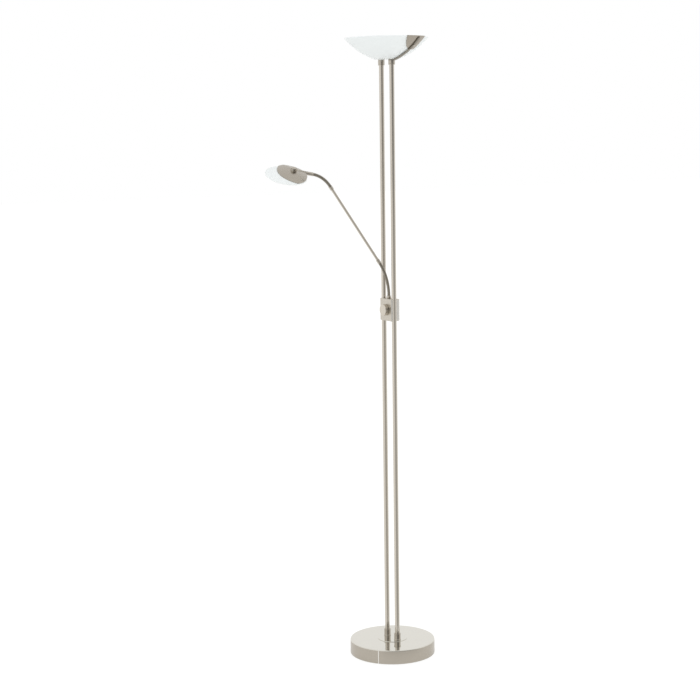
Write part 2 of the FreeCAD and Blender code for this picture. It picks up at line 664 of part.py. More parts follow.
def pipe(outer, inner, start, direction, length):
    body = Part.makeCylinder(outer, length, start, direction)
    if not inner:
        return body
    return body.cut(Part.makeCylinder(inner, length + 2, start - direction, direction))


def arm():
    clamp_top = CLAMP_Z + CLAMP_HEIGHT / 2
    roof = clamp_top - CLAMP_TOP_WALL
    flange = roof - FREE_GAP
    foot = clamp_top + FREE_GAP + SWIVEL_CUP_HEIGHT
    swivel = rod(SWIVEL_FLANGE_R, flange - SWIVEL_FLANGE_T, flange)
    swivel = swivel.fuse(rod(SWIVEL_PIN_R, flange, clamp_top + FREE_GAP))
    swivel = swivel.fuse(rod(SWIVEL_CUP_R, clamp_top + FREE_GAP, foot))
    swivel = swivel.cut(rod(FLEX_BORE_R, flange - 10, foot + 1)).removeSplitter()
    save("arm_swivel", round_edges(swivel, SWIVEL_EDGE_R, flat_circle_at(foot, SWIVEL_CUP_R)))

    start = V(0, 0, foot)
    tube_start = flex_pieces("flex_low", start, 0.0, ARM_TILT, LOW_BEND_R, LOW_PIECES)
    along = heading(ARM_TILT)
    save("arm_tube", pipe(TUBE_R, TUBE_R - TUBE_WALL, tube_start, along, TUBE_LENGTH))
    tube_end = tube_start + along * TUBE_LENGTH
    bore = TUBE_R + FIT_GAP
    save("arm_ferrules", pipe(FERRULE_R, bore, tube_start, along, FERRULE_LENGTH),
         pipe(FERRULE_R, bore, tube_end - along * FERRULE_LENGTH, along, FERRULE_LENGTH))

    neck_start = flex_pieces("flex_top", tube_end, ARM_TILT, NECK_TILT - ARM_TILT, TOP_BEND_R, TOP_PIECES)
    out = heading(NECK_TILT)
    ferrule = pipe(FERRULE_R, 0, neck_start, out, NECK_FERRULE_LENGTH)
    neck_end = neck_start + out * NECK_FERRULE_LENGTH
    pin = Part.makeCylinder(NECK_PIN_R, NECK_PIN_LENGTH, neck_end, out)
    save("neck_ferrule", ferrule.fuse(pin).removeSplitter())
    print("   neck end %.3f %.3f" % (neck_end.y, neck_end.z))
    return neck_end


# ---- reading head -------------------------------------------------------------------------
# made around the middle of the upper face of its glass, then tilted and set down

def half_cap(shrink, bottom):
    """The half-round cover or its hollow: it rises from its free edge and meets a wide dome."""
    front_middle = COVER_FRONT_R - COVER_FRONT
    edge = COVER_SIDE + COVER_LIFT_OFF
    rise_r = COVER_FRONT_R / sin(radians(COVER_SLOPE))
    depth = sqrt(rise_r ** 2 - COVER_FRONT_R ** 2)
    rise = Part.makeSphere(rise_r - shrink, V(0, front_middle, edge - depth))
    swell = COVER_CROWN - COVER_RIM
    dome_r = (HEAD_R ** 2 + swell ** 2) / (2 * swell)
    dome = Part.makeSphere(dome_r - shrink, V(0, 0, COVER_CROWN - dome_r))
    rim = rod(HEAD_R - shrink, bottom, HEAD_R)
    front = rod(COVER_FRONT_R - shrink, bottom, HEAD_R, 0, front_middle)
    return rim.common(front).common(rise).common(dome)


def head(neck_end):
    middle = neck_end + V(0, -HEAD_AHEAD, -HEAD_DROP)
    turn = FreeCAD.Rotation(X_AXIS, HEAD_PITCH) * FreeCAD.Rotation(Y_AXIS, HEAD_ROLL)
    place = FreeCAD.Placement(middle, turn)

    def set_down(body):
        moved = body.copy()
        moved.Placement = place.multiply(moved.Placement)
        return moved

    bottom = COVER_LIFT_OFF
    outer = half_cap(0, bottom)
    inner = half_cap(COVER_T, bottom - 1)

    out = heading(NECK_TILT)
    ridge = Part.makeCone(RIDGE_R, RIDGE_END_R, HEAD_AHEAD - BUTTON_BACK, neck_end + out * FREE_GAP, out)
    glass_room = rod(HEAD_R + FREE_GAP, -HEAD_R, bottom)
    bezel_room = rod(BUTTON_RIM_R + FIT_GAP, bottom, HEAD_R, 0, BUTTON_BACK)
    ridge = ridge.cut([set_down(glass_room), set_down(bezel_room)])
    pin_hole = Part.makeCylinder(NECK_PIN_R + FIT_GAP, NECK_PIN_LENGTH + 1, neck_end, out)

    board_y = HEAD_BOARD_BACK
    led_top = COVER_LIFT_OFF + HEAD_LED_T
    board_top = led_top + HEAD_BOARD_T
    plate_top = board_top + HEAD_PLATE_T
    screws, bosses, holes = [], [], []
    for side in (-1, 1):
        x, y = side * HEAD_SCREW_SIDE, HEAD_SCREW_BACK
        bosses.append(rod(HEAD_BOSS_R, bottom, HEAD_R, x, y).common(outer))
        holes.append(rod(HEAD_SCREW_R + FIT_GAP, -HEAD_R, HEAD_SCREW_REACH + FREE_GAP, x, y))
        under = -HEAD_GLASS_T
        shank = rod(HEAD_SCREW_R, under, HEAD_SCREW_REACH, x, y)
        cap = rod(HEAD_SCREW_HEAD_R, under - HEAD_SCREW_HEAD_T, under, x, y)
        screws.append(set_down(shank.fuse(cap).removeSplitter()))

    button_top = BUTTON_RIM_Z + BUTTON_PROUD
    button_foot = button_top - BUTTON_T
    rim_hole = rod(BUTTON_R + FREE_GAP, plate_top, BUTTON_RIM_Z, 0, BUTTON_BACK)
    post = rod(SWITCH_R, plate_top, button_foot - BUTTON_TRAVEL - FREE_GAP, 0, BUTTON_BACK)
    cover = set_down(outer).fuse(ridge).cut(set_down(inner))
    cover = cover.cut(set_down(rim_hole))
    cover = cover.fuse([set_down(b) for b in bosses]).removeSplitter()
    for hole in holes:
        cover = cover.cut(set_down(hole))
    cover = cover.cut(pin_hole)
    save("head_cover", cover)

    glass = rod(HEAD_R, -HEAD_GLASS_T, 0)
    glass = round_edges(glass, HEAD_GLASS_ROUND, lambda e: e.BoundBox.ZLength < 1e-4)
    for hole in holes:
        glass = glass.cut(hole)
    save("head_glass", set_down(glass))

    chips = []
    for i in range(HEAD_LED_COUNT):
        spot = polar(HEAD_LED_RING_R, 360.0 * i / HEAD_LED_COUNT)
        half = HEAD_LED_SIZE / 2
        chips.append(set_down(block(spot.x - half, spot.x + half, board_y + spot.y - half,
                                    board_y + spot.y + half, bottom, led_top)))
    save("head_leds", *chips)
    save("head_board", set_down(rod(HEAD_BOARD_R, led_top, board_top, 0, board_y)))
    plate = rod(HEAD_BOARD_R, board_top, plate_top, 0, board_y).fuse(post).removeSplitter()
    save("head_plate", set_down(plate))

    # the push button slides in its bezel, above a switch that stands on the plate
    bezel = ring(BUTTON_RIM_R, BUTTON_R + FIT_GAP, plate_top, BUTTON_RIM_Z, 0, BUTTON_BACK)
    bezel = bezel.cut(half_cap(0, bottom - 1))
    save("head_bezel", set_down(bezel))
    button = rod(BUTTON_R, button_foot, button_top, 0, BUTTON_BACK)
    button = round_edges(button, BUTTON_EDGE_R, flat_circle_at(button_top))
    save("head_button", set_down(button))
    save("head_screws", *screws)
    normal = turn.multVec(Z_AXIS)
    print("   head middle %.3f %.3f %.3f  normal %.4f %.4f %.4f"
          % (middle.x, middle.y, middle.z, normal.x, normal.y, normal.z))


base()
poles()
bowl()
bracket()
uplight()
clamp()
head(arm())
print("rim", RIM_Z, "arc", ARC_R, ARC_Z, ARC_RADIUS)
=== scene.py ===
import json
import math
import bmesh
import bpy
from mathutils import Matrix, Vector


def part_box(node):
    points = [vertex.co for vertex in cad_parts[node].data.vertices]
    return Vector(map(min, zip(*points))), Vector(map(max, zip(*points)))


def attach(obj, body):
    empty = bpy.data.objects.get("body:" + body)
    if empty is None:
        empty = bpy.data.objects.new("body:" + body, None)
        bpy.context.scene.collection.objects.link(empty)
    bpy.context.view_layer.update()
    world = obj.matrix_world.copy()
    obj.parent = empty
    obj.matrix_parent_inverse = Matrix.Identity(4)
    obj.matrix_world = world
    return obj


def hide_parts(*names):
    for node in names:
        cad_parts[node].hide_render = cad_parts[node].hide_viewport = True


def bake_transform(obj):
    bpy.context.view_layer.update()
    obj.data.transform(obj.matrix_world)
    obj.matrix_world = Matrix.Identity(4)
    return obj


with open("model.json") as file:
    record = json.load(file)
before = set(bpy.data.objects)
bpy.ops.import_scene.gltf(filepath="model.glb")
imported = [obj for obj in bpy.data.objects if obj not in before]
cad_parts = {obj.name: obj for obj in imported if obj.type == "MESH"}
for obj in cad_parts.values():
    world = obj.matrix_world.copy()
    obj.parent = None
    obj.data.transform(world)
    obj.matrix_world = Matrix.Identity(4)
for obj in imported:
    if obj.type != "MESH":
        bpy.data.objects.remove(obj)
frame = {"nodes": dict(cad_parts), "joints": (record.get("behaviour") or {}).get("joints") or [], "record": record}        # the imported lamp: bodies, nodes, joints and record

mm = 0.001                      # sizes are in millimetres, and the scene is in metres
mergeWithin = 0.002 * mm        # points closer than this are one point
sharpFrom = math.radians(32)    # a crease steeper than this is a real edge
facing = 0.9                    # a face whose normal leans this far along an axis faces that way
polesApart = 54                 # between the middles of the two poles
poleX = (-polesApart / 2 * mm, polesApart / 2 * mm)
ahead, upward = Vector((0, -1, 0)), Vector((0, 0, 1))
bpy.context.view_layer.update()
nodes = frame["nodes"]
pivots = {joint["name"]: Vector(joint["pos_m"]) for joint in frame["joints"] if "pos_m" in joint}
bodyOf = {name: body for body, names in frame["record"]["behaviour"]["bodies"].items() for name in names}


def hexLinear(code):
    # sRGB hex to the linear colour that the shaders take
    out = []
    for i in (1, 3, 5):
        c = int(code[i:i + 2], 16) / 255
        out.append(c / 12.92 if c <= 0.04045 else ((c + 0.055) / 1.055) ** 2.4)
    return (*out, 1.0)


def addNode(tree, kind, inputs=None, **settings):
    # one node, its settings, and its inputs as values, as sockets or as nodes whose first output is meant
    node = tree.nodes.new(kind)
    for name, value in settings.items():
        setattr(node, name, value)
    for key, value in (inputs or {}).items():
        socket = node.inputs[key]
        if isinstance(value, bpy.types.Node):
            value = value.outputs[0]
        if isinstance(value, bpy.types.NodeSocket):
            tree.links.new(value, socket)
        else:
            socket.default_value = value
    return node


def newMaterial(name):
    material = bpy.data.materials.new(name)
    material.use_nodes = True
    material.node_tree.nodes.clear()
    return material, material.node_tree


def finishMaterial(tree, shader):
    addNode(tree, "ShaderNodeOutputMaterial", {"Surface": shader})


# the camera stands where the photograph was taken: degrees, metres, and a 36 mm wide sensor
photoView = {"azimuth": 57.123, "distance": 4.7201, "height": 1.54666,
             "yaw": 1.3926, "pitch": 7.7094, "roll": -0.7835, "lens": 84.256, "sensor": 36.0}


def swing(first, second, angle):
    # two axes, turned by an angle in the plane that they span
    c, s = math.cos(angle), math.sin(angle)
    return first * c - second * s, second * c + first * s


def makeCamera(size):
    a, yaw, pitch, roll = (math.radians(size[k]) for k in ("azimuth", "yaw", "pitch", "roll"))
    place = Vector((math.sin(a) * size["distance"], -math.cos(a) * size["distance"], size["height"]))
    right, up = Vector((math.cos(a), math.sin(a), 0)), Vector((0, 0, 1))
    level, right = swing(Vector((-math.sin(a), math.cos(a), 0)), right, yaw)
    sight, up = swing(level, up, pitch)
    up, right = swing(up, right, roll)
    data = bpy.data.cameras.new("photoCamera")
    data.lens, data.sensor_width = size["lens"], size["sensor"]
    camera = bpy.data.objects.new("photoCamera", data)
    bpy.context.scene.collection.objects.link(camera)
    axes = Matrix((right, up, -sight)).transposed().to_4x4()
    camera.matrix_world = Matrix.Translation(place) @ axes
    bpy.context.scene.camera = camera


makeCamera(photoView)
print("camera set")


def workedMetal(name, colour, roughness, linesPerMm, spread=0.05, mottle=0.04, lineDepth=0.004):
    # a metal as its last tool left it: a mirror dulled by fine marks. linesPerMm counts them along x, y
    # and z, so one high count draws rings or strokes, and even counts draw a grain with no direction.
    # Real marks are 0.05 mm apart. They are drawn ten to sixty times as coarse, so that a close view
    # shows them. Cloudy patches 40 mm wide are where the hand or the wheel pressed less evenly.
    material, tree = newMaterial(name)
    place = addNode(tree, "ShaderNodeTexCoord").outputs["Object"]
    scale = addNode(tree, "ShaderNodeMapping", {"Vector": place, "Scale": tuple(n / mm for n in linesPerMm)})
    lines = addNode(tree, "ShaderNodeTexNoise", {"Vector": scale, "Scale": 1.0, "Detail": 2.0,
                                                 "Roughness": 0.5})
    clouds = addNode(tree, "ShaderNodeTexNoise", {"Vector": place, "Scale": 1 / (40 * mm), "Detail": 3.0})
    wear = addNode(tree, "ShaderNodeMath", {0: clouds, 1: 0.5, 2: lines}, operation="MULTIPLY_ADD")
    reach = {"Value": wear, "From Min": 0.45, "From Max": 1.05}     # nearly all of wear lies in this range
    rough = addNode(tree, "ShaderNodeMapRange", {**reach, "To Min": roughness - spread,
                                                 "To Max": roughness + spread})
    shade = addNode(tree, "ShaderNodeMapRange", {**reach, "To Min": 1 - mottle, "To Max": 1 + mottle})
    tint = addNode(tree, "ShaderNodeHueSaturation", {"Color": hexLinear(colour), "Value": shade})
    bump = addNode(tree, "ShaderNodeBump", {"Height": lines, "Strength": 0.2, "Distance": lineDepth * mm})
    finishMaterial(tree, addNode(tree, "ShaderNodeBsdfPrincipled", {
        "Base Color": tint, "Metallic": 1.0, "Roughness": rough, "Normal": bump}))
    return material


def moulded(name, colour, roughness, grainMm, depthMm):
    # an even body colour with the faint grain that its mould, casting or spray left. The grain of a
    # mould is about 0.1 mm and that of casting sand 0.4 mm: both are drawn three to eight times as coarse.
    material, tree = newMaterial(name)
    place = addNode(tree, "ShaderNodeTexCoord").outputs["Object"]
    grain = addNode(tree, "ShaderNodeTexNoise", {"Vector": place, "Scale": 1 / (grainMm * mm),
                                                 "Detail": 2.0})
    rough = addNode(tree, "ShaderNodeMapRange", {"Value": grain, "To Min": roughness - 0.05,
                                                 "To Max": roughness + 0.05})
    shade = addNode(tree, "ShaderNodeMapRange", {"Value": grain, "To Min": 0.94, "To Max": 1.04})
    tint = addNode(tree, "ShaderNodeHueSaturation", {"Color": hexLinear(colour), "Value": shade})
    bump = addNode(tree, "ShaderNodeBump", {"Height": grain, "Strength": 0.3, "Distance": depthMm * mm})
    finishMaterial(tree, addNode(tree, "ShaderNodeBsdfPrincipled", {
        "Base Color": tint, "Roughness": rough, "Normal": bump}))
    return material


def opalGlass(name, colour, roughness, thickMm, ior=1.5):
    # opal glass etched by acid: white all through, a silky sheen and a soft bleed of light at its edges.
    # The etch is 0.02 mm fine, drawn at 0.6 mm and kept faint. Clouds 70 mm wide are its uneven density.
    material, tree = newMaterial(name)
    place = addNode(tree, "ShaderNodeTexCoord").outputs["Object"]
    etch = addNode(tree, "ShaderNodeTexNoise", {"Vector": place, "Scale": 1 / (0.6 * mm), "Detail": 1.0})
    cloud = addNode(tree, "ShaderNodeTexNoise", {"Vector": place, "Scale": 1 / (70 * mm), "Detail": 2.0})
    rough = addNode(tree, "ShaderNodeMapRange", {"Value": etch, "To Min": roughness - 0.04,
                                                 "To Max": roughness + 0.04})
    shade = addNode(tree, "ShaderNodeMapRange", {"Value": cloud, "To Min": 0.985, "To Max": 1.01})
    tint = addNode(tree, "ShaderNodeHueSaturation", {"Color": hexLinear(colour), "Value": shade})
    bump = addNode(tree, "ShaderNodeBump", {"Height": etch, "Strength": 0.04, "Distance": 0.02 * mm})
    finishMaterial(tree, addNode(tree, "ShaderNodeBsdfPrincipled", {
        "Base Color": tint, "Roughness": rough, "IOR": ior, "Normal": bump, "Subsurface Weight": 0.15,
        "Subsurface Radius": (1.0, 1.0, 1.0), "Subsurface Scale": thickMm * mm}))
    return material


def feltCloth(name, colour, fibreMm):
    # needled wool felt: matt, with short fibres that catch light at grazing angles. A fibre is 0.02 mm
    # thick, and tufts of them are drawn.
    material, tree = newMaterial(name)
    place = addNode(tree, "ShaderNodeTexCoord").outputs["Object"]
    fibre = addNode(tree, "ShaderNodeTexNoise", {"Vector": place, "Scale": 1 / (fibreMm * mm), "Detail": 5.0,
                                                 "Distortion": 1.2})
    shade = addNode(tree, "ShaderNodeMapRange", {"Value": fibre, "To Min": 0.7, "To Max": 1.3})
    tint = addNode(tree, "ShaderNodeHueSaturation", {"Color": hexLinear(colour), "Value": shade})
    bump = addNode(tree, "ShaderNodeBump", {"Height": fibre, "Strength": 0.6, "Distance": 0.3 * mm})
    finishMaterial(tree, addNode(tree, "ShaderNodeBsdfPrincipled", {
        "Base Color": tint, "Roughness": 0.95, "Sheen Weight": 0.4, "Sheen Roughness": 0.5, "Normal": bump}))
    return material


# satin nickel plate is a warm grey. What each piece shows the eye comes from how it was worked, and for a
# few pieces from light or shade painted into the colour:
# tube polished as it turned: fine rings, and a sharp upright highlight beside a dark core
poleNickel = workedMetal("drawnTubeNickel", "#C9C2B7", 0.17, (0.05, 0.05, 1.6))
# plate brushed upwards: a broad, even sheen with a grain that runs up it
plateNickel = workedMetal("brushedPlateNickel", "#C6C0B5", 0.30, (1.4, 1.4, 0.06))
# sawn sides: an even matt grain, and a near-white colour that is a painted highlight for the white they
# reflect
sidePaintedHighlightNickel = workedMetal("blastedEdgeNickel", "#F0EEE9", 0.5, (1.2, 1.2, 1.2))
# deep-drawn sheet, plated as it was pressed: a soft, slightly cloudy grey without a grain
pressedNickel = workedMetal("pressedSheetNickel", "#ACA59A", 0.27, (0.5, 0.5, 0.5), mottle=0.06,
                            lineDepth=0.002)
# drawn bar, with lines that run across it where it rises; its dark colour is painted shade
barPaintedShadeNickel = workedMetal("drawnBarNickel", "#888278", 0.28, (0.06, 0.06, 1.4))
# stamped leaf, tumbled after stamping: blurred patches of the room, with no direction
leafNickel = workedMetal("stampedLeafNickel", "#A1998E", 0.24, (0.7, 0.7, 0.7), mottle=0.06)
# drawn cap, satined: one wide, soft highlight
buttonNickel = workedMetal("deepDrawnButtonNickel", "#B7B0A5", 0.38, (0.6, 0.6, 0.6))
# turned on a lathe: close rings and bright, crisp lips
turnedNickel = workedMetal("turnedNickel", "#BAB3A8", 0.16, (0.05, 0.05, 2.0))
# buffed sheet: a near-mirror that holds the poles and the white room, with hardly a line; its pale colour is
# painted light
basePaintedLightNickel = workedMetal("polishedBaseNickel", "#D8D5CC", 0.09, (0.3, 0.3, 0.3), spread=0.02, mottle=0.02,
                         lineDepth=0.0005)
# brushed round the base: a streaked band under the polished top, its darker colour painted shade
bandPaintedShadeNickel = workedMetal("brushedBandNickel", "#AFA89D", 0.30, (0.04, 0.04, 1.2))
# turned and satined: a fine even grain on the face, and straight lines along the side
knobNickel = workedMetal("turnedKnobNickel", "#CDC6BA", 0.20, (0.8, 0.05, 0.8))
# plated spring wire: a dull dark grey, which the ribs break into short glints
wireNickel = workedMetal("nickelledSpringWire", "#8C867B", 0.28, (0.6, 0.6, 0.6))
# bead polished by hand: one thin bright line on the band, its near-white colour a painted highlight
seamPaintedHighlightNickel = workedMetal("polishedSeamNickel", "#F2F0EC", 0.12, (0.5, 0.5, 0.5))
# bright zinc on bolts: colder than nickel, and cloudy
zincSteel = workedMetal("zincPlatedSteel", "#B4B7BA", 0.38, (0.6, 0.6, 0.6), mottle=0.1)
# spun aluminium, left bare: pale and cool, with faint rings from the tool
bareAluminium = workedMetal("spunAluminium", "#D3D4D6", 0.35, (0.05, 0.05, 1.0), mottle=0.05)
# turned brass, unplated: warm yellow with fine rings
turnedBrass = workedMetal("turnedBrass", "#C9A75C", 0.28, (0.05, 0.05, 1.5))
# pressed glass, etched outside: a cool white bowl with a silky sheen
bowlOpal = opalGlass("etchedOpalGlass", "#F1F5F6", 0.45, 4.0)
# thinner glass, frosted more finely: the same white with a tighter sheen
headOpal = opalGlass("frostedHeadGlass", "#F1F5F5", 0.40, 3.0)
# moulded acrylic: smoother than the glass, and a little warmer
diffuserOpal = opalGlass("opalAcrylic", "#F6F6F2", 0.30, 1.6, ior=1.49)
# needled felt: soft, dark and without any shine
padFelt = feltCloth("needledFelt", "#2E2E31", 0.8)
# iron cast in sand: dull dark grey with a coarse skin
castIron = moulded("sandCastIron", "#4A4A4C", 0.75, 1.6, 0.2)
# rubber from an eroded mould: nearly black, and matt
glandRubber = moulded("mouldedRubber", "#242425", 0.6, 0.5, 0.03)
# extruded sheath: black with a soft gloss
leadSheath = moulded("extrudedSheath", "#2A2A2B", 0.5, 0.8, 0.02)
# moulded silicone: milky, with a dull shine
milkySilicone = moulded("siliconeRubber", "#DADAD6", 0.5, 0.7, 0.02)
# solder mask printed on a board: an even white with a slight gloss
boardMask = moulded("whiteSolderMask", "#E9EAE6", 0.4, 0.6, 0.02)
# phosphor cast in resin: egg yellow while the lamp is off
ledPhosphor = moulded("ledPhosphor", "#E9C65A", 0.4, 0.3, 0.01)
# moulded phenolic: hard and black, the glossiest of the dark pieces
blackPhenolic = moulded("blackPhenolic", "#1F1E1D", 0.35, 0.6, 0.02)

# CAD nodes that show little or nothing keep their own mesh
finishes = {
    padFelt: ["base_pad"],
    castIron: ["base_weight"],
    zincSteel: ["foot_washers", "foot_nuts", "foot_studs", "pole_joiners", "bowl_studs", "lamp_nuts",
                "dimmer_nut", "dimmer_shaft"],
    turnedBrass: ["pole_bushes"],
    leadSheath: ["mains_lead", "bowl_lead"],
    milkySilicone: ["bowl_gaskets"],
    bareAluminium: ["head_plate"],
    boardMask: ["lamp_board", "head_board"],
    ledPhosphor: ["lamp_leds", "head_leds"],
    blackPhenolic: ["dimmer_body"],
    turnedNickel: ["bowl_spacer"],
}
for material, names in finishes.items():
    for name in names:
        data = nodes[name].data
        data.materials.clear()
        data.materials.append(material)
print("finishes on", sum(len(names) for names in finishes.values()), "CAD nodes")


def applyNodes(name, mesh, tree, values):
    # runs a node tree on a mesh and gives back a plain object at the origin
    source = bpy.data.objects.new(name + "Source", mesh)
    bpy.context.scene.collection.objects.link(source)
    modifier = source.modifiers.new("nodes", "NODES")
    modifier.node_group = tree
    sockets = {item.name: item.identifier for item in tree.interface.items_tree
               if item.item_type == "SOCKET" and item.in_out == "INPUT"}
    for key, value in values.items():
        if value is not None:
            modifier[sockets[key]] = value
    return settle(source, name)


def settle(source, name):
    # the object with its modifiers worked in, as a new plain mesh
    bpy.context.view_layer.update()
    made = bpy.data.meshes.new_from_object(source.evaluated_get(bpy.context.evaluated_depsgraph_get()))
    made.name = name
    bpy.data.objects.remove(source)
    piece = bpy.data.objects.new(name, made)
    bpy.context.scene.collection.objects.link(piece)
    return piece


def tidyShell(piece):
    # doubles merged, faces outward, smooth but for real edges. Normals weighed by area keep flats flat
    work = bmesh.new()
    work.from_mesh(piece.data)
    bmesh.ops.remove_doubles(work, verts=work.verts, dist=mergeWithin)
    bmesh.ops.recalc_face_normals(work, faces=work.faces)
    work.to_mesh(piece.data)
    work.free()
    piece.data.polygons.foreach_set("use_smooth", [True] * len(piece.data.polygons))
    piece.data.set_sharp_from_angle(angle=sharpFrom)
    weigh = piece.modifiers.new("weigh", "WEIGHTED_NORMAL")
    weigh.keep_sharp, weigh.weight = True, 100      # 100 lets the largest faces decide
    name = piece.name
    piece.name = name + "Rough"
    return settle(piece, name)


def handOver(piece, *replaced, rides=True):
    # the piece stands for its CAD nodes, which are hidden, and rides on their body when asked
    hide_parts(*replaced)
    if rides:
        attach(piece, bodyOf[replaced[0]])


def groupTree(name, sockets):
    # an empty tree with geometry in and out and named inputs for its sizes
    tree = bpy.data.node_groups.new(name, "GeometryNodeTree")
    tree.interface.new_socket("Geometry", in_out="OUTPUT", socket_type="NodeSocketGeometry")
    tree.interface.new_socket("Geometry", in_out="INPUT", socket_type="NodeSocketGeometry")
    for label, kind, value in sockets:
        socket = tree.interface.new_socket(label, in_out="INPUT", socket_type="NodeSocket" + kind)
        if value is not None:
            socket.default_value = value
    return tree, addNode(tree, "NodeGroupInput").outputs


def latheTree():
    # turns a profile, given as points in the xz plane, about the z axis: one column of the grid per point
    tree, given = groupTree("lathe", [("Steps", "Int", 96), ("Finish", "Material", None)])
    size = addNode(tree, "GeometryNodeAttributeDomainSize", {"Geometry": given["Geometry"]})
    rows = addNode(tree, "ShaderNodeMath", {0: given["Steps"], 1: 1.0}, operation="ADD")
    grid = addNode(tree, "GeometryNodeMeshGrid", {"Vertices X": rows,
                                                  "Vertices Y": size.outputs["Point Count"]})
    index = addNode(tree, "GeometryNodeInputIndex")
    column = addNode(tree, "ShaderNodeMath", {0: index, 1: size.outputs["Point Count"]}, operation="MODULO")
    row = addNode(tree, "ShaderNodeMath", {0: index, 1: size.outputs["Point Count"]}, operation="DIVIDE")
    row = addNode(tree, "ShaderNodeMath", {0: row}, operation="FLOOR")
    turn = addNode(tree, "ShaderNodeMath", {0: row, 1: given["Steps"]}, operation="DIVIDE")
    angle = addNode(tree, "ShaderNodeMath", {0: turn, 1: 2 * math.pi}, operation="MULTIPLY")
    profile = addNode(tree, "GeometryNodeSampleIndex", {
        "Geometry": given["Geometry"], "Value": addNode(tree, "GeometryNodeInputPosition"),
        "Index": column}, data_type="FLOAT_VECTOR")
    turned = addNode(tree, "ShaderNodeVectorRotate", {"Vector": profile, "Angle": angle},
                     rotation_type="Z_AXIS")
    body = addNode(tree, "GeometryNodeSetPosition", {"Geometry": grid, "Position": turned})
    closed = addNode(tree, "GeometryNodeMergeByDistance", {"Geometry": body, "Distance": mergeWithin})
    real = addNode(tree, "GeometryNodeRealizeInstances", {"Geometry": closed})
    done = addNode(tree, "GeometryNodeSetMaterial", {"Geometry": real, "Material": given["Finish"]})
    addNode(tree, "NodeGroupOutput", {0: done})
    return tree


def rounded(corners, steps=5):
    # a profile from (radius, height, rounding) in millimetres, each rounding drawn as an arc
    points = []
    for i, (r, z, rounding) in enumerate(corners):
        here = Vector((r, z))
        if not rounding:
            points.append(here)
            continue
        before = Vector(corners[i - 1][:2]) - here
        after = Vector(corners[(i + 1) % len(corners)][:2]) - here
        half = before.angle(after) / 2
        before.normalize()
        after.normalize()
        centre = here + (before + after).normalized() * rounding / math.sin(half)
        first = here + before * rounding / math.tan(half) - centre
        last = here + after * rounding / math.tan(half) - centre
        for k in range(steps + 1):
            points.append(centre + first.slerp(last, k / steps).normalized() * rounding)
    return points


def turnPiece(name, profile, material, steps, place=None, closed=True):
    # a turned piece from a profile in millimetres, set down by a matrix in metres
    mesh = bpy.data.meshes.new(name + "Profile")
    points = list(profile) + ([profile[0]] if closed else [])
    mesh.from_pydata([(r * mm, 0, z * mm) for r, z in points], [], [])
    piece = applyNodes(name, mesh, lathe, {"Steps": steps, "Finish": material})
    piece.data.transform(place or Matrix())
    return tidyShell(piece)


def cutOut(piece, cutters):
    # takes the cutters out, and keeps the piece's one material on every face, also inside the cuts
    name, material = piece.name, next(finish for finish in piece.data.materials if finish)
    for cutter in cutters:
        modifier = piece.modifiers.new("cut", "BOOLEAN")
        modifier.operation, modifier.object, modifier.solver = "DIFFERENCE", cutter, "EXACT"
    piece.name = name + "Solid"
    cut = settle(piece, name)
    for cutter in cutters:
        bpy.data.objects.remove(cutter)
    cut.data.materials.clear()
    cut.data.materials.append(material)
    cut.data.polygons.foreach_set("material_index", [0] * len(cut.data.polygons))
    return tidyShell(cut)


def turnedTo(direction):
    # the rotation that brings the z axis to a direction
    return direction.to_track_quat("Z", "Y").to_matrix().to_4x4()


drillSize = {"past": 4.0, "steps": 48}      # past is how far the drill reaches out on either side of a wall


def drill(piece, holes):
    # holes as (start in metres, direction, radius in mm, wall in mm), each cut clean through its wall
    past, cutters = drillSize["past"], []
    for start, direction, radius, wall in holes:
        place = Matrix.Translation(start) @ turnedTo(direction)
        rod = [(0, -past), (radius, -past), (radius, wall + past), (0, wall + past)]
        cutters.append(turnPiece(piece.name + "Cutter", rod, None, drillSize["steps"], place, closed=False))
    return cutOut(piece, cutters)


def studHoles(radius, bottom, wall):
    # the holes for the two poles' studs, up through a wall that starts at a height in millimetres
    return [(Vector((x, 0, bottom * mm)), upward, radius, wall) for x in poleX]


def softCopy(name, node, material):
    # a merged copy of a CAD node with smooth shading, which loose triangles can't take
    piece = bpy.data.objects.new(name, nodes[node].data.copy())
    piece.data.name = name
    bpy.context.scene.collection.objects.link(piece)
    piece.data.materials.clear()
    piece.data.materials.append(material)
    piece = tidyShell(piece)
    handOver(piece, node)
    return piece


lathe = latheTree()

# the base: a pressed cover with a rolled edge, whose side band is brushed and joined by a seam
baseSize = {"radius": 125, "top": 42, "lift": 1.5, "wall": 1.2, "edge": 2.5, "hem": 0.3, "studHole": 5.2,
            "inletRadius": 5.05, "inletHeight": 31, "bandBelow": 40.2, "skin": 0.1, "steps": 256,
            "discRadius": 43, "discThick": 1.2, "discEdge": 0.6, "discSteps": 160}


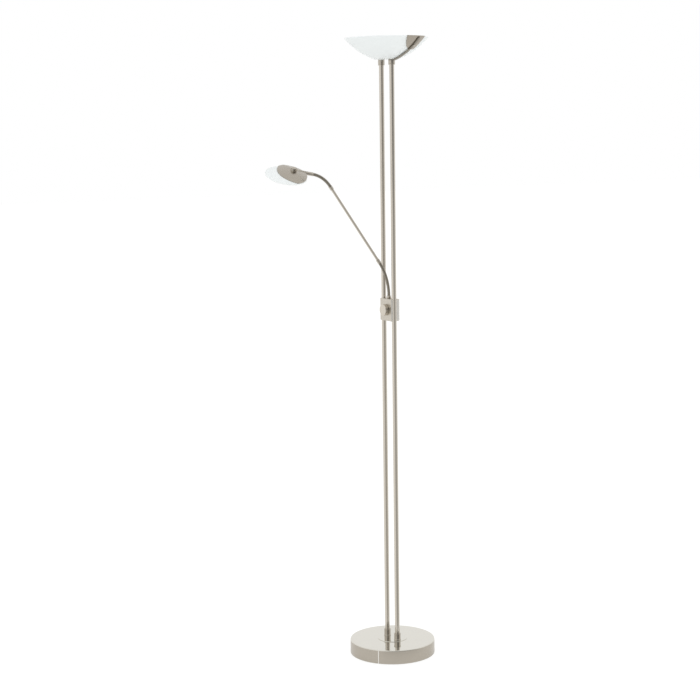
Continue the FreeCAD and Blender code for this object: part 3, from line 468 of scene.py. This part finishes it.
def makeBase(size):
    outer, inner, top, wall = size["radius"], size["radius"] - size["wall"], size["top"], size["wall"]
    profile = rounded([(0, top, 0), (outer, top, size["edge"]), (outer, size["lift"], size["hem"]),
                       (inner, size["lift"], size["hem"]), (inner, top - wall, size["edge"] - wall),
                       (0, top - wall, 0)], steps=8)
    cover = turnPiece("baseCoverShell", profile, basePaintedLightNickel, size["steps"], closed=False)
    inlet = Vector((0, inner, size["inletHeight"])) * mm
    holes = studHoles(size["studHole"], top - wall, wall) + [(inlet, -ahead, size["inletRadius"], wall)]
    cover = drill(cover, holes)
    cover.data.materials.append(bandPaintedShadeNickel)
    # the brushed band is the upright outside of the cover, up to its rolled edge. Its faces take the darker
    # colour, painted shade; the rest takes the pale top colour, painted light
    for face in cover.data.polygons:
        sideways = math.hypot(face.normal.x, face.normal.y) > facing
        outside = math.hypot(face.center.x, face.center.y) > (inner + size["skin"]) * mm
        face.material_index = 1 if sideways and outside and face.center.z < size["bandBelow"] * mm else 0
    handOver(cover, "base_cover")
    # the disc takes the cover's pale top colour, which is painted light
    r, over = size["discRadius"], top + size["discThick"]
    disc = rounded([(0, top, 0), (r, top, 0), (r, over, size["discEdge"]), (0, over, 0)])
    plate = turnPiece("baseDiscPlate", disc, basePaintedLightNickel, size["discSteps"], closed=False)
    handOver(drill(plate, studHoles(size["studHole"], top, size["discThick"])), "base_disc")


makeBase(baseSize)

# the poles are drawn tubes in two lengths, with a hairline break where they join inside the clamp
poleSize = {"radius": 7, "wall": 1.0, "breakEdge": 0.25, "steps": 64}


def makePoles(size):
    outer, inner, edge = size["radius"], size["radius"] - size["wall"], size["breakEdge"]
    for side, x in zip(("left", "right"), poleX):
        for part in ("lower", "upper"):
            node = "pole_%s_%s" % (part, side)
            low, high = (corner[2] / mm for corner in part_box(node))
            profile = rounded([(inner, low, 0), (outer, low, edge), (outer, high, edge), (inner, high, 0)],
                              steps=3)
            piece = turnPiece("%s%sPoleTube" % (side, part.capitalize()), profile, poleNickel, size["steps"],
                              Matrix.Translation((x, 0, 0)))
            handOver(piece, node)


makePoles(poleSize)


def setOutTree():
    # sets one made-up unit out on points, each turned by its own rotation
    tree, given = groupTree("setOut", [("Unit", "Object", None), ("Finish", "Material", None)])
    unit = addNode(tree, "GeometryNodeObjectInfo", {"Object": given["Unit"]})
    spin = addNode(tree, "GeometryNodeInputNamedAttribute", {"Name": "spin"}, data_type="FLOAT_VECTOR")
    points = addNode(tree, "GeometryNodeInstanceOnPoints", {
        "Points": given["Geometry"], "Instance": unit.outputs["Geometry"], "Rotation": spin})
    real = addNode(tree, "GeometryNodeRealizeInstances", {"Geometry": points})
    done = addNode(tree, "GeometryNodeSetMaterial", {"Geometry": real, "Material": given["Finish"]})
    addNode(tree, "NodeGroupOutput", {0: done})
    return tree


setOut = setOutTree()


def setPieces(name, unit, places, material, *replaced):
    # unit pieces set out at places, each a (point, direction that the unit's top faces)
    mesh = bpy.data.meshes.new(name + "Points")
    mesh.from_pydata([point for point, _ in places], [], [])
    spins = mesh.attributes.new("spin", "FLOAT_VECTOR", "POINT")
    for i, (_, direction) in enumerate(places):
        spins.data[i].vector = direction.to_track_quat("Z", "Y").to_euler()
    piece = applyNodes(name, mesh, setOut, {"Unit": unit, "Finish": material})
    bpy.data.objects.remove(unit)
    handOver(tidyShell(piece), *replaced)


# collars are turned with a bright lip at each end and a narrower waist
footCollar = {"radius": 10, "lip": 2.2, "waist": 9.3, "height": 20, "poleBore": 7.05, "studBore": 5.2,
              "floor": 4, "foot": 0.25, "lipRound": 0.5, "waistRound": 0.2, "mouth": 0.15, "steps": 96}
topCollar = {"radius": 9.5, "height": 12, "poleBore": 7.05, "studBore": 5.2, "floor": 3, "grooveAt": 3.0,
             "groove": 0.5, "lipRound": 0.5, "grooveRound": 0.2, "mouth": 0.1, "steps": 96}


def collarPair(kind, node, profile, steps):
    # one collar on each pole, with its foot at the foot of its CAD node
    unit = turnPiece(kind + "Unit", profile, turnedNickel, steps)
    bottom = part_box(node)[0][2]
    setPieces(kind + "Pair", unit, [(Vector((x, 0, bottom)), upward) for x in poleX], turnedNickel, node)


def makeFootCollars(size):
    height, floor, waist, lip, r = (size[k] for k in ("height", "floor", "waist", "lip", "radius"))
    roll, soft = size["lipRound"], size["waistRound"]
    profile = rounded([(size["studBore"], 0, 0), (r, 0, size["foot"]), (r, lip, roll),
                       (waist, lip + roll, soft), (waist, height - lip - roll, soft),
                       (r, height - lip, roll), (r, height, roll),
                       (size["poleBore"], height, size["mouth"]), (size["poleBore"], floor, 0),
                       (size["studBore"], floor, 0)], steps=4)
    collarPair("footCollar", "foot_collars", profile, size["steps"])


def makeTopCollars(size):
    height, r, at, deep, soft = (size[k] for k in ("height", "radius", "grooveAt", "groove", "grooveRound"))
    ceiling = height - size["floor"]
    profile = rounded([(size["poleBore"], 0, size["mouth"]), (r, 0, size["lipRound"]), (r, at - deep, soft),
                       (r - deep, at, soft / 2), (r, at + deep, soft), (r, height, soft),
                       (size["studBore"], height, 0), (size["studBore"], ceiling, 0),
                       (size["poleBore"], ceiling, 0)], steps=4)
    collarPair("topCollar", "top_collars", profile, size["steps"])


makeFootCollars(footCollar)
makeTopCollars(topCollar)
print("base, poles and collars turned")

# the bowl is pressed opal glass: a flat floor, then one arc out to a rounded rim
bowlSize = {"rim": 1800, "rimRadius": 120, "depth": 60, "floorRadius": 36, "bellyOut": 0.533,
            "bellyUp": 0.392, "wall": 4.0, "rimRound": 1.6, "studHole": 5.2, "arcSteps": 40, "steps": 256}


def bowlArc(size):
    # centre and radius of the arc through floor edge, belly and rim
    floor, low = size["floorRadius"], size["rim"] - size["depth"]
    a, c = Vector((floor, low)), Vector((size["rimRadius"], size["rim"]))
    out, up = size["bellyOut"] * (size["rimRadius"] - floor), size["bellyUp"] * size["depth"]
    b = Vector((floor + out, low + up))
    d = 2 * (a.x * (b.y - c.y) + b.x * (c.y - a.y) + c.x * (a.y - b.y))
    x = (a.dot(a) * (b.y - c.y) + b.dot(b) * (c.y - a.y) + c.dot(c) * (a.y - b.y)) / d
    y = (a.dot(a) * (c.x - b.x) + b.dot(b) * (a.x - c.x) + c.dot(c) * (b.x - a.x)) / d
    return x, y, (a - Vector((x, y))).length


def bowlSide(size, inset):
    # points of the side at a depth into the glass, from the floor up to the rim
    x, y, radius = bowlArc(size)
    low, high, count = size["rim"] - size["depth"] + inset, size["rim"], size["arcSteps"]
    r = radius - inset
    first, last = math.asin((low - y) / r), math.asin((high - y) / r)
    return [Vector((x + r * math.cos(first + (last - first) * i / count),
                    y + r * math.sin(first + (last - first) * i / count))) for i in range(count + 1)]


def makeBowl(size):
    # the rim's roundings take the place of the last two points of either side
    outside, inside = bowlSide(size, 0), bowlSide(size, size["wall"])
    rim = rounded([(*outside[-3], 0), (*outside[-1], size["rimRound"]), (*inside[-1], size["rimRound"]),
                   (*inside[-3], 0)], steps=8)
    profile = [Vector((0, outside[0].y)), *outside[:-2], *rim[1:-1], *reversed(inside[:-2]),
               Vector((0, inside[0].y))]
    glass = turnPiece("opalBowl", profile, bowlOpal, size["steps"], closed=False)
    holes = studHoles(size["studHole"], size["rim"] - size["depth"], size["wall"])
    handOver(drill(glass, holes), "bowl_glass")


makeBowl(bowlSize)
# the bar's dark colour is painted shade
softCopy("bowlBar", "bracket_bar", barPaintedShadeNickel)
softCopy("bowlLeaf", "bracket_leaf", leafNickel)
softCopy("lampReflectorPan", "lamp_pan", bareAluminium)
softCopy("lampOpalCap", "lamp_diffuser", diffuserOpal)
softCopy("bowlBarRivets", "bracket_rivets", turnedNickel)
softCopy("cordGland", "cable_gland", glandRubber)
print("bowl made")

# the clamp, its screws and the dimmer knob
knobSize = {"radius": 16.5, "depth": 10.5, "edge": 1.5, "dish": 0.5, "dishEdge": 13.5, "dishSlope": 0.8,
            "recess": 10.0, "recessDeep": 4.0, "recessRound": 0.3, "lipRound": 0.4, "bore": 3.05,
            "boreDeep": 8.05, "steps": 128}
screwSize = {"head": 2.8, "headHigh": 2.0, "shank": 1.5, "tip": 0.3, "domeShare": 0.45, "slotWide": 0.7,
             "slotDeep": 0.9, "slotLong": 3.6, "steps": 40}


def makeKnob(size):
    r, deep, lip, recess = size["radius"], size["depth"], size["lipRound"], size["recess"]
    dish, edge = deep - size["dish"], size["dishEdge"]
    profile = rounded([(size["bore"], size["recessDeep"], 0), (recess, size["recessDeep"], 0),
                       (recess, 0, size["recessRound"]), (r, 0, lip), (r, deep, size["edge"]),
                       (edge, deep, lip), (edge - size["dishSlope"], dish, lip), (0, dish, 0),
                       (0, size["boreDeep"], 0), (size["bore"], size["boreDeep"], 0)], steps=6)
    low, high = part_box("dimmer_knob")
    back = Vector(((low[0] + high[0]) / 2, high[1], (low[2] + high[2]) / 2))
    place = Matrix.Translation(back) @ turnedTo(ahead)
    handOver(turnPiece("dimmerKnobTurned", profile, knobNickel, size["steps"], place), "dimmer_knob")


def screwUnit(name, size, head, high, shank, reach):
    # a pan head with a cross recess and its plain shank, head up, under the head at the origin
    profile = rounded([(0, -reach, 0), (shank, -reach, size["tip"]), (shank, 0, 0), (head, 0, 0),
                       (head, high, high * size["domeShare"]), (0, high, 0)])
    unit = turnPiece(name, profile, zincSteel, size["steps"], closed=False)
    slots = []
    for along, across in ((size["slotLong"], size["slotWide"]), (size["slotWide"], size["slotLong"])):
        slot = bpy.data.objects.new(name + "Slot", bpy.data.meshes.new(name + "Slot"))
        bpy.context.scene.collection.objects.link(slot)
        work = bmesh.new()
        bmesh.ops.create_cube(work, size=1.0)
        bmesh.ops.scale(work, vec=Vector((along, across, 2 * size["slotDeep"])) * mm, verts=work.verts)
        bmesh.ops.translate(work, vec=(0, 0, high * mm), verts=work.verts)
        work.to_mesh(slot.data)
        work.free()
        slots.append(slot)
    return cutOut(unit, slots)


def makeClampScrews(size):
    low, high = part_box("clamp_screws")
    underHead = high[1] / mm - size["headHigh"]
    reach = underHead - low[1] / mm
    unit = screwUnit("clampScrewUnit", size, size["head"], size["headHigh"], size["shank"], reach)
    spread = size["head"] * mm
    places = [(Vector((x, underHead * mm, z)), -ahead) for x in (low[0] + spread, high[0] - spread)
              for z in (low[2] + spread, high[2] - spread)]
    setPieces("clampScrewSet", unit, places, zincSteel, "clamp_screws")


makeKnob(knobSize)
makeClampScrews(screwSize)
for name, node in (("clampFrontHalf", "clamp_front"), ("clampBackHalf", "clamp_back")):
    # the sawn sides of the clamp are matt, and painted paler than its brushed faces: a painted highlight
    half = softCopy(name, node, plateNickel)
    half.data.materials.append(sidePaintedHighlightNickel)
    for face in half.data.polygons:
        face.material_index = 1 if abs(face.normal.x) > facing else 0
softCopy("armSwivelCup", "arm_swivel", turnedNickel)
softCopy("armFerrulePair", "arm_ferrules", turnedNickel)
softCopy("neckFerruleTurned", "neck_ferrule", turnedNickel)
print("clamp and knob made")

# a gooseneck is round spring wire wound tight, so its outline is finely ribbed
neckSize = {"radius": 4.5, "pitch": 2.1, "groove": 0.5, "sides": 28, "stepsPerTurn": 6, "blendShare": 0.36,
            "bendSteps": 24}
lowNeck = {"label": "low", "tilt": 0.0, "turn": 35.8, "radius": 165.0,
           "bodies": ["arm_foot", "low_bend_2", "tube"]}
topNeck = {"label": "top", "tilt": 35.8, "turn": 44.2, "radius": 88.0,
           "bodies": ["tube", "top_bend_2", "top_bend_3", "neck"]}
armTube = {"radius": 4.0, "wall": 0.8, "length": 276.0, "edge": 0.2, "steps": 48}


def windingTree(size):
    # a tube swept along a path, then pressed in along the helix between the turns of its wire
    tree, given = groupTree("gooseneckWinding", [
        ("Radius", "Float", size["radius"] * mm), ("Pitch", "Float", size["pitch"] * mm),
        ("Groove", "Float", size["groove"] * mm), ("Start Length", "Float", 0.0),
        ("Sides", "Int", size["sides"]), ("Steps Per Turn", "Int", size["stepsPerTurn"]),
        ("Wire", "Material", None)])
    path = addNode(tree, "GeometryNodeMeshToCurve", {"Mesh": given["Geometry"]})
    step = addNode(tree, "ShaderNodeMath", {0: given["Pitch"], 1: given["Steps Per Turn"]},
                   operation="DIVIDE")
    even = addNode(tree, "GeometryNodeResampleCurve", {"Curve": path, "Length": step}, mode="LENGTH")
    keep = addNode(tree, "GeometryNodeCaptureAttribute", {"Geometry": even})
    for kind, name in (("FLOAT", "along"), ("VECTOR", "centre"), ("VECTOR", "tangent")):
        keep.capture_items.new(kind, name)
    tree.links.new(addNode(tree, "GeometryNodeSplineParameter").outputs["Length"], keep.inputs["along"])
    tree.links.new(addNode(tree, "GeometryNodeInputPosition").outputs[0], keep.inputs["centre"])
    tree.links.new(addNode(tree, "GeometryNodeInputTangent").outputs[0], keep.inputs["tangent"])
    section = addNode(tree, "GeometryNodeCurvePrimitiveCircle", {"Resolution": given["Sides"],
                                                                 "Radius": given["Radius"]})
    skin = addNode(tree, "GeometryNodeCurveToMesh", {"Curve": keep.outputs["Geometry"],
                                                     "Profile Curve": section, "Fill Caps": True})
    here = addNode(tree, "GeometryNodeInputPosition")
    outward = addNode(tree, "ShaderNodeVectorMath", {0: here, 1: keep.outputs["centre"]},
                      operation="SUBTRACT")
    outward = addNode(tree, "ShaderNodeVectorMath", {0: outward}, operation="NORMALIZE")
    sideways = addNode(tree, "ShaderNodeVectorMath", {0: (1.0, 0.0, 0.0), 1: keep.outputs["tangent"]},
                       operation="CROSS_PRODUCT")
    across = addNode(tree, "ShaderNodeVectorMath", {0: outward, 1: (1.0, 0.0, 0.0)},
                     operation="DOT_PRODUCT")
    forward = addNode(tree, "ShaderNodeVectorMath", {0: outward, 1: sideways}, operation="DOT_PRODUCT")
    angle = addNode(tree, "ShaderNodeMath", {0: across.outputs["Value"], 1: forward.outputs["Value"]},
                    operation="ARCTAN2")
    length = addNode(tree, "ShaderNodeMath", {0: keep.outputs["along"], 1: given["Start Length"]},
                     operation="ADD")
    turns = addNode(tree, "ShaderNodeMath", {0: length, 1: given["Pitch"]}, operation="DIVIDE")
    phase = addNode(tree, "ShaderNodeMath", {0: turns, 1: 2 * math.pi, 2: angle}, operation="MULTIPLY_ADD")
    wave = addNode(tree, "ShaderNodeMath", {0: phase}, operation="COSINE")
    half = addNode(tree, "ShaderNodeMath", {0: wave, 1: 0.5, 2: -0.5}, operation="MULTIPLY_ADD")
    depth = addNode(tree, "ShaderNodeMath", {0: half, 1: given["Groove"]}, operation="MULTIPLY")
    push = addNode(tree, "ShaderNodeVectorMath", {0: outward, "Scale": depth}, operation="SCALE")
    ribbed = addNode(tree, "GeometryNodeSetPosition", {"Geometry": skin, "Offset": push})
    smooth = addNode(tree, "GeometryNodeSetShadeSmooth", {0: ribbed, "Shade Smooth": True})
    real = addNode(tree, "GeometryNodeRealizeInstances", {"Geometry": smooth})
    wired = addNode(tree, "GeometryNodeSetMaterial", {"Geometry": real, "Material": given["Wire"]})
    addNode(tree, "NodeGroupOutput", {0: wired})
    return tree


def heading(tilt):
    # unit vector in the arm's plane, tilted from vertical towards the front
    return Vector((0, -math.sin(math.radians(tilt)), math.cos(math.radians(tilt))))


def bendPoints(start, neck, first, last, count=neckSize["bendSteps"]):
    # points of a bend between two lengths along it, all in metres
    radius = neck["radius"] * mm
    centre = start + heading(neck["tilt"] + 90) * radius
    lengths = [first + (last - first) * i / count for i in range(count + 1)]
    return [centre - heading(neck["tilt"] + math.degrees(along / radius) + 90) * radius for along in lengths]


def windNeck(start, neck, tree):
    # one length of winding for each joint, laid along the arc of the bend and riding on no body
    bodies, pieces = neck["bodies"], len(neck["bodies"])
    step = math.radians(neck["turn"] / pieces) * neck["radius"] * mm
    for i in range(pieces - 1):
        lastOne = i == pieces - 2
        first = 0.0 if i == 0 else (i + 0.5) * step
        last = pieces * step if lastOne else (i + 1.5) * step
        points = bendPoints(start, neck, first, last)
        mesh = bpy.data.meshes.new(neck["label"])
        mesh.from_pydata(points, [(k, k + 1) for k in range(len(points) - 1)], [])
        piece = applyNodes("%sNeckWinding%d" % (neck["label"], i + 1), mesh, tree, {
            "Radius": neckSize["radius"] * mm, "Pitch": neckSize["pitch"] * mm,
            "Groove": neckSize["groove"] * mm, "Start Length": first, "Sides": neckSize["sides"],
            "Steps Per Turn": neckSize["stepsPerTurn"], "Wire": wireNickel})
        covered = ["flex_%s_%d" % (neck["label"], k) for k in ((i + 1, i + 2) if lastOne else (i + 1,))]
        handOver(piece, *covered, rides=False)
        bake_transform(piece)
    return bendPoints(start, neck, 0.0, pieces * step, count=1)[1]


winding = windingTree(neckSize)

# the ends of the cover's side band meet in a polished bead, which runs over the top edge; its near-white
# colour is a painted highlight
seamSize = {"azimuth": -52.2, "radius": 1.0, "sunk": 0.45, "bottom": 1.8, "overTop": 3.0, "step": 0.8,
            "sides": 16}


def makeSeam(size, base, tree):
    around = Matrix.Rotation(math.radians(size["azimuth"]), 3, "Z")
    r, top = base["radius"] - size["sunk"], base["top"] - size["sunk"]
    end = r - base["edge"] - size["overTop"]
    bend = rounded([(r, size["bottom"], 0), (r, top, base["edge"]), (end, top, 0)], steps=6)
    mesh = bpy.data.meshes.new("seamPath")
    mesh.from_pydata([around @ Vector((x, 0, z)) * mm for x, z in bend],
                     [(k, k + 1) for k in range(len(bend) - 1)], [])
    piece = tidyShell(applyNodes("baseSeamBead", mesh, tree, {
        "Radius": size["radius"] * mm, "Pitch": size["step"] * mm, "Groove": 0.0, "Start Length": 0.0,
        "Sides": size["sides"], "Steps Per Turn": 1, "Wire": seamPaintedHighlightNickel}))
    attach(piece, bodyOf["base_cover"])


makeSeam(seamSize, baseSize, winding)


def makeArmTube(size, start, way):
    inner, outer, long, edge = size["radius"] - size["wall"], size["radius"], size["length"], size["edge"]
    profile = rounded([(inner, 0, 0), (outer, 0, edge), (outer, long, edge), (inner, long, 0)], steps=3)
    place = Matrix.Translation(start) @ turnedTo(way)
    handOver(turnPiece("armTubeDrawn", profile, poleNickel, size["steps"], place), "arm_tube")


# the arm leaves the swivel upright, and each part of it starts where the last one ends
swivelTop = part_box("arm_swivel")[1][2]
tubeStart = windNeck(Vector((0, 0, swivelTop)), lowNeck, winding)
tubeWay = heading(topNeck["tilt"])
windNeck(tubeStart + tubeWay * armTube["length"] * mm, topNeck, winding)
makeArmTube(armTube, tubeStart, tubeWay)
print("arm made")

# the reading head: a frosted glass disc under a half-round pressed cover with a push button
headSize = {"radius": 58.6, "thick": 4.0, "round": 1.4, "ahead": 64.2, "drop": 3.5, "pitch": 2.0,
            "roll": 23.8, "screwSide": 36.0, "screwBack": 16.0, "screwHole": 1.55, "screwHead": 4.0,
            "screwHeadHigh": 1.5, "screwShank": 1.5, "screwReach": 7.2, "steps": 192}


def makeHead(size):
    middle = pivots["head_roll"] + Vector((0, -size["ahead"], -size["drop"])) * mm
    place = (Matrix.Translation(middle) @ Matrix.Rotation(math.radians(size["pitch"]), 4, "X")
             @ Matrix.Rotation(math.radians(size["roll"]), 4, "Y"))
    r, under = size["radius"], -size["thick"]
    profile = rounded([(0, under, 0), (r, under, size["round"]), (r, 0, size["round"]), (0, 0, 0)], steps=8)
    glass = turnPiece("headGlassDisc", profile, headOpal, size["steps"], place, closed=False)
    spots = [Vector((side * size["screwSide"], size["screwBack"], under)) * mm for side in (-1, 1)]
    up = (place.to_3x3() @ upward).normalized()
    holes = [(place @ spot, up, size["screwHole"], size["thick"]) for spot in spots]
    handOver(drill(glass, holes), "head_glass")
    unit = screwUnit("headScrewUnit", screwSize, size["screwHead"], size["screwHeadHigh"],
                     size["screwShank"], size["screwReach"])
    places = [(place @ spot, -up) for spot in spots]
    setPieces("headScrewPair", unit, places, zincSteel, "head_screws")
    softCopy("headCoverPressed", "head_cover", pressedNickel)
    softCopy("headBezelRing", "head_bezel", turnedNickel)
    softCopy("headPushButton", "head_button", buttonNickel)


makeHead(headSize)
print("reading head made")

# floor and world: white to the camera, to gloss and to glass, with a darker side for gloss where the
# room stands open behind the camera, which gives the poles their dark cores
studio = {"floorSize": 60.0, "floorGlow": 0.80, "floorShade": "#949492", "bounceShade": "#F6F6F4",
          "worldFill": 0.97, "openSide": (0.991, -0.137, 0.0), "openTone": 0.30,
          "openFrom": 0.57, "openTo": 0.86, "floorFrom": 0.19, "floorTo": 0.32, "floorWiden": 1.08}


def seenRays(tree):
    # 1 for rays from the camera, off gloss or through glass
    rays = addNode(tree, "ShaderNodeLightPath")
    direct, gloss, through = (rays.outputs["Is %s Ray" % kind]
                              for kind in ("Camera", "Glossy", "Transmission"))
    seen = addNode(tree, "ShaderNodeMath", {0: direct, 1: gloss}, operation="MAXIMUM")
    seen = addNode(tree, "ShaderNodeMath", {0: seen, 1: through}, operation="MAXIMUM")
    return seen.outputs[0], gloss


def openTone(tree, way, size, glossy):
    # 1 in the white part of the studio, down to the open side's tone, for gloss alone
    along = addNode(tree, "ShaderNodeVectorMath", {0: way, 1: size["openSide"]}, operation="DOT_PRODUCT")
    tone = addNode(tree, "ShaderNodeMapRange", {
        "Value": along.outputs["Value"], "From Min": size["openFrom"], "From Max": size["openTo"],
        "To Min": 1.0, "To Max": size["openTone"]}, interpolation_type="SMOOTHSTEP")
    part = addNode(tree, "ShaderNodeMapRange", {"Value": glossy, "To Min": 1.0, "To Max": tone})
    return part.outputs[0]


def makeStudio(size):
    half = size["floorSize"] / 2
    mesh = bpy.data.meshes.new("floor")
    corners = [(-half, -half, 0), (half, -half, 0), (half, half, 0), (-half, half, 0)]
    mesh.from_pydata(corners, [], [(0, 1, 2, 3)])
    floor = bpy.data.objects.new("floor", mesh)
    bpy.context.scene.collection.objects.link(floor)
    # a painted sweep: an even white to camera and gloss, and a plain matt floor to every other ray
    material, tree = newMaterial("whiteSweep")
    seen, glossy = seenRays(tree)
    place = addNode(tree, "ShaderNodeTexCoord").outputs["Object"]
    # the floor darkens the same way, but only from a little way off the lamp's base
    out = addNode(tree, "ShaderNodeVectorMath", {0: place}, operation="LENGTH")
    fade = addNode(tree, "ShaderNodeMapRange", {"Value": out.outputs["Value"], "From Min": size["floorFrom"],
                                                "From Max": size["floorTo"], "To Max": size["floorWiden"]},
                   interpolation_type="SMOOTHSTEP")
    way = addNode(tree, "ShaderNodeVectorMath", {0: place}, operation="NORMALIZE")
    way = addNode(tree, "ShaderNodeVectorMath", {0: way, "Scale": fade}, operation="SCALE")
    tone = openTone(tree, way, size, glossy)
    matt = addNode(tree, "ShaderNodeBsdfDiffuse", {"Color": hexLinear(size["floorShade"])})
    strength = addNode(tree, "ShaderNodeMath", {0: tone, 1: size["floorGlow"]}, operation="MULTIPLY")
    glow = addNode(tree, "ShaderNodeEmission", {"Color": hexLinear("#FFFFFF"), "Strength": strength})
    both = addNode(tree, "ShaderNodeAddShader", {0: matt, 1: glow})
    plain = addNode(tree, "ShaderNodeBsdfDiffuse", {"Color": hexLinear(size["bounceShade"])})
    mix = addNode(tree, "ShaderNodeMixShader", {0: seen, 1: plain, 2: both})
    finishMaterial(tree, mix)
    mesh.materials.append(material)

    world = bpy.data.worlds.new("studioWorld")
    bpy.context.scene.world = world
    world.use_nodes = True
    tree = world.node_tree
    tree.nodes.clear()
    seen, glossy = seenRays(tree)
    direction = addNode(tree, "ShaderNodeTexCoord").outputs["Generated"]
    tone = openTone(tree, direction, size, glossy)
    level = addNode(tree, "ShaderNodeMapRange", {"Value": seen, "To Min": size["worldFill"], "To Max": tone})
    sky = addNode(tree, "ShaderNodeBackground", {"Color": hexLinear("#FFFFFF"), "Strength": level})
    addNode(tree, "ShaderNodeOutputWorld", {"Surface": sky})


# soft lamps in metres and watts, which only model the forms: gloss sees the studio and not them
lamps = {
    "keyLamp": {"place": (3.4, -3.6, 0.9), "aim": (0, 0, 1.7), "side": 2.4, "power": 12},
    "sideLamp": {"place": (3.8, 2.6, 1.6), "aim": (0, 0, 1.0), "side": 1.6, "power": 4},
    "topLamp": {"place": (1.6, -1.4, 4.0), "aim": (0, 0, 1.2), "side": 2.4, "power": 1},
}


def makeLamps(table):
    for name, size in table.items():
        data = bpy.data.lights.new(name, "AREA")
        data.shape, data.size, data.energy = "SQUARE", size["side"], size["power"]
        lamp = bpy.data.objects.new(name, data)
        bpy.context.scene.collection.objects.link(lamp)
        place, aim = Vector(size["place"]), Vector(size["aim"])
        lamp.location = place
        lamp.rotation_euler = (aim - place).to_track_quat("-Z", "Y").to_euler()
        lamp.visible_camera = False
        lamp.visible_glossy = False


makeStudio(studio)
makeLamps(lamps)
bpy.context.scene.view_settings.view_transform = "Standard"
print("studio lit")
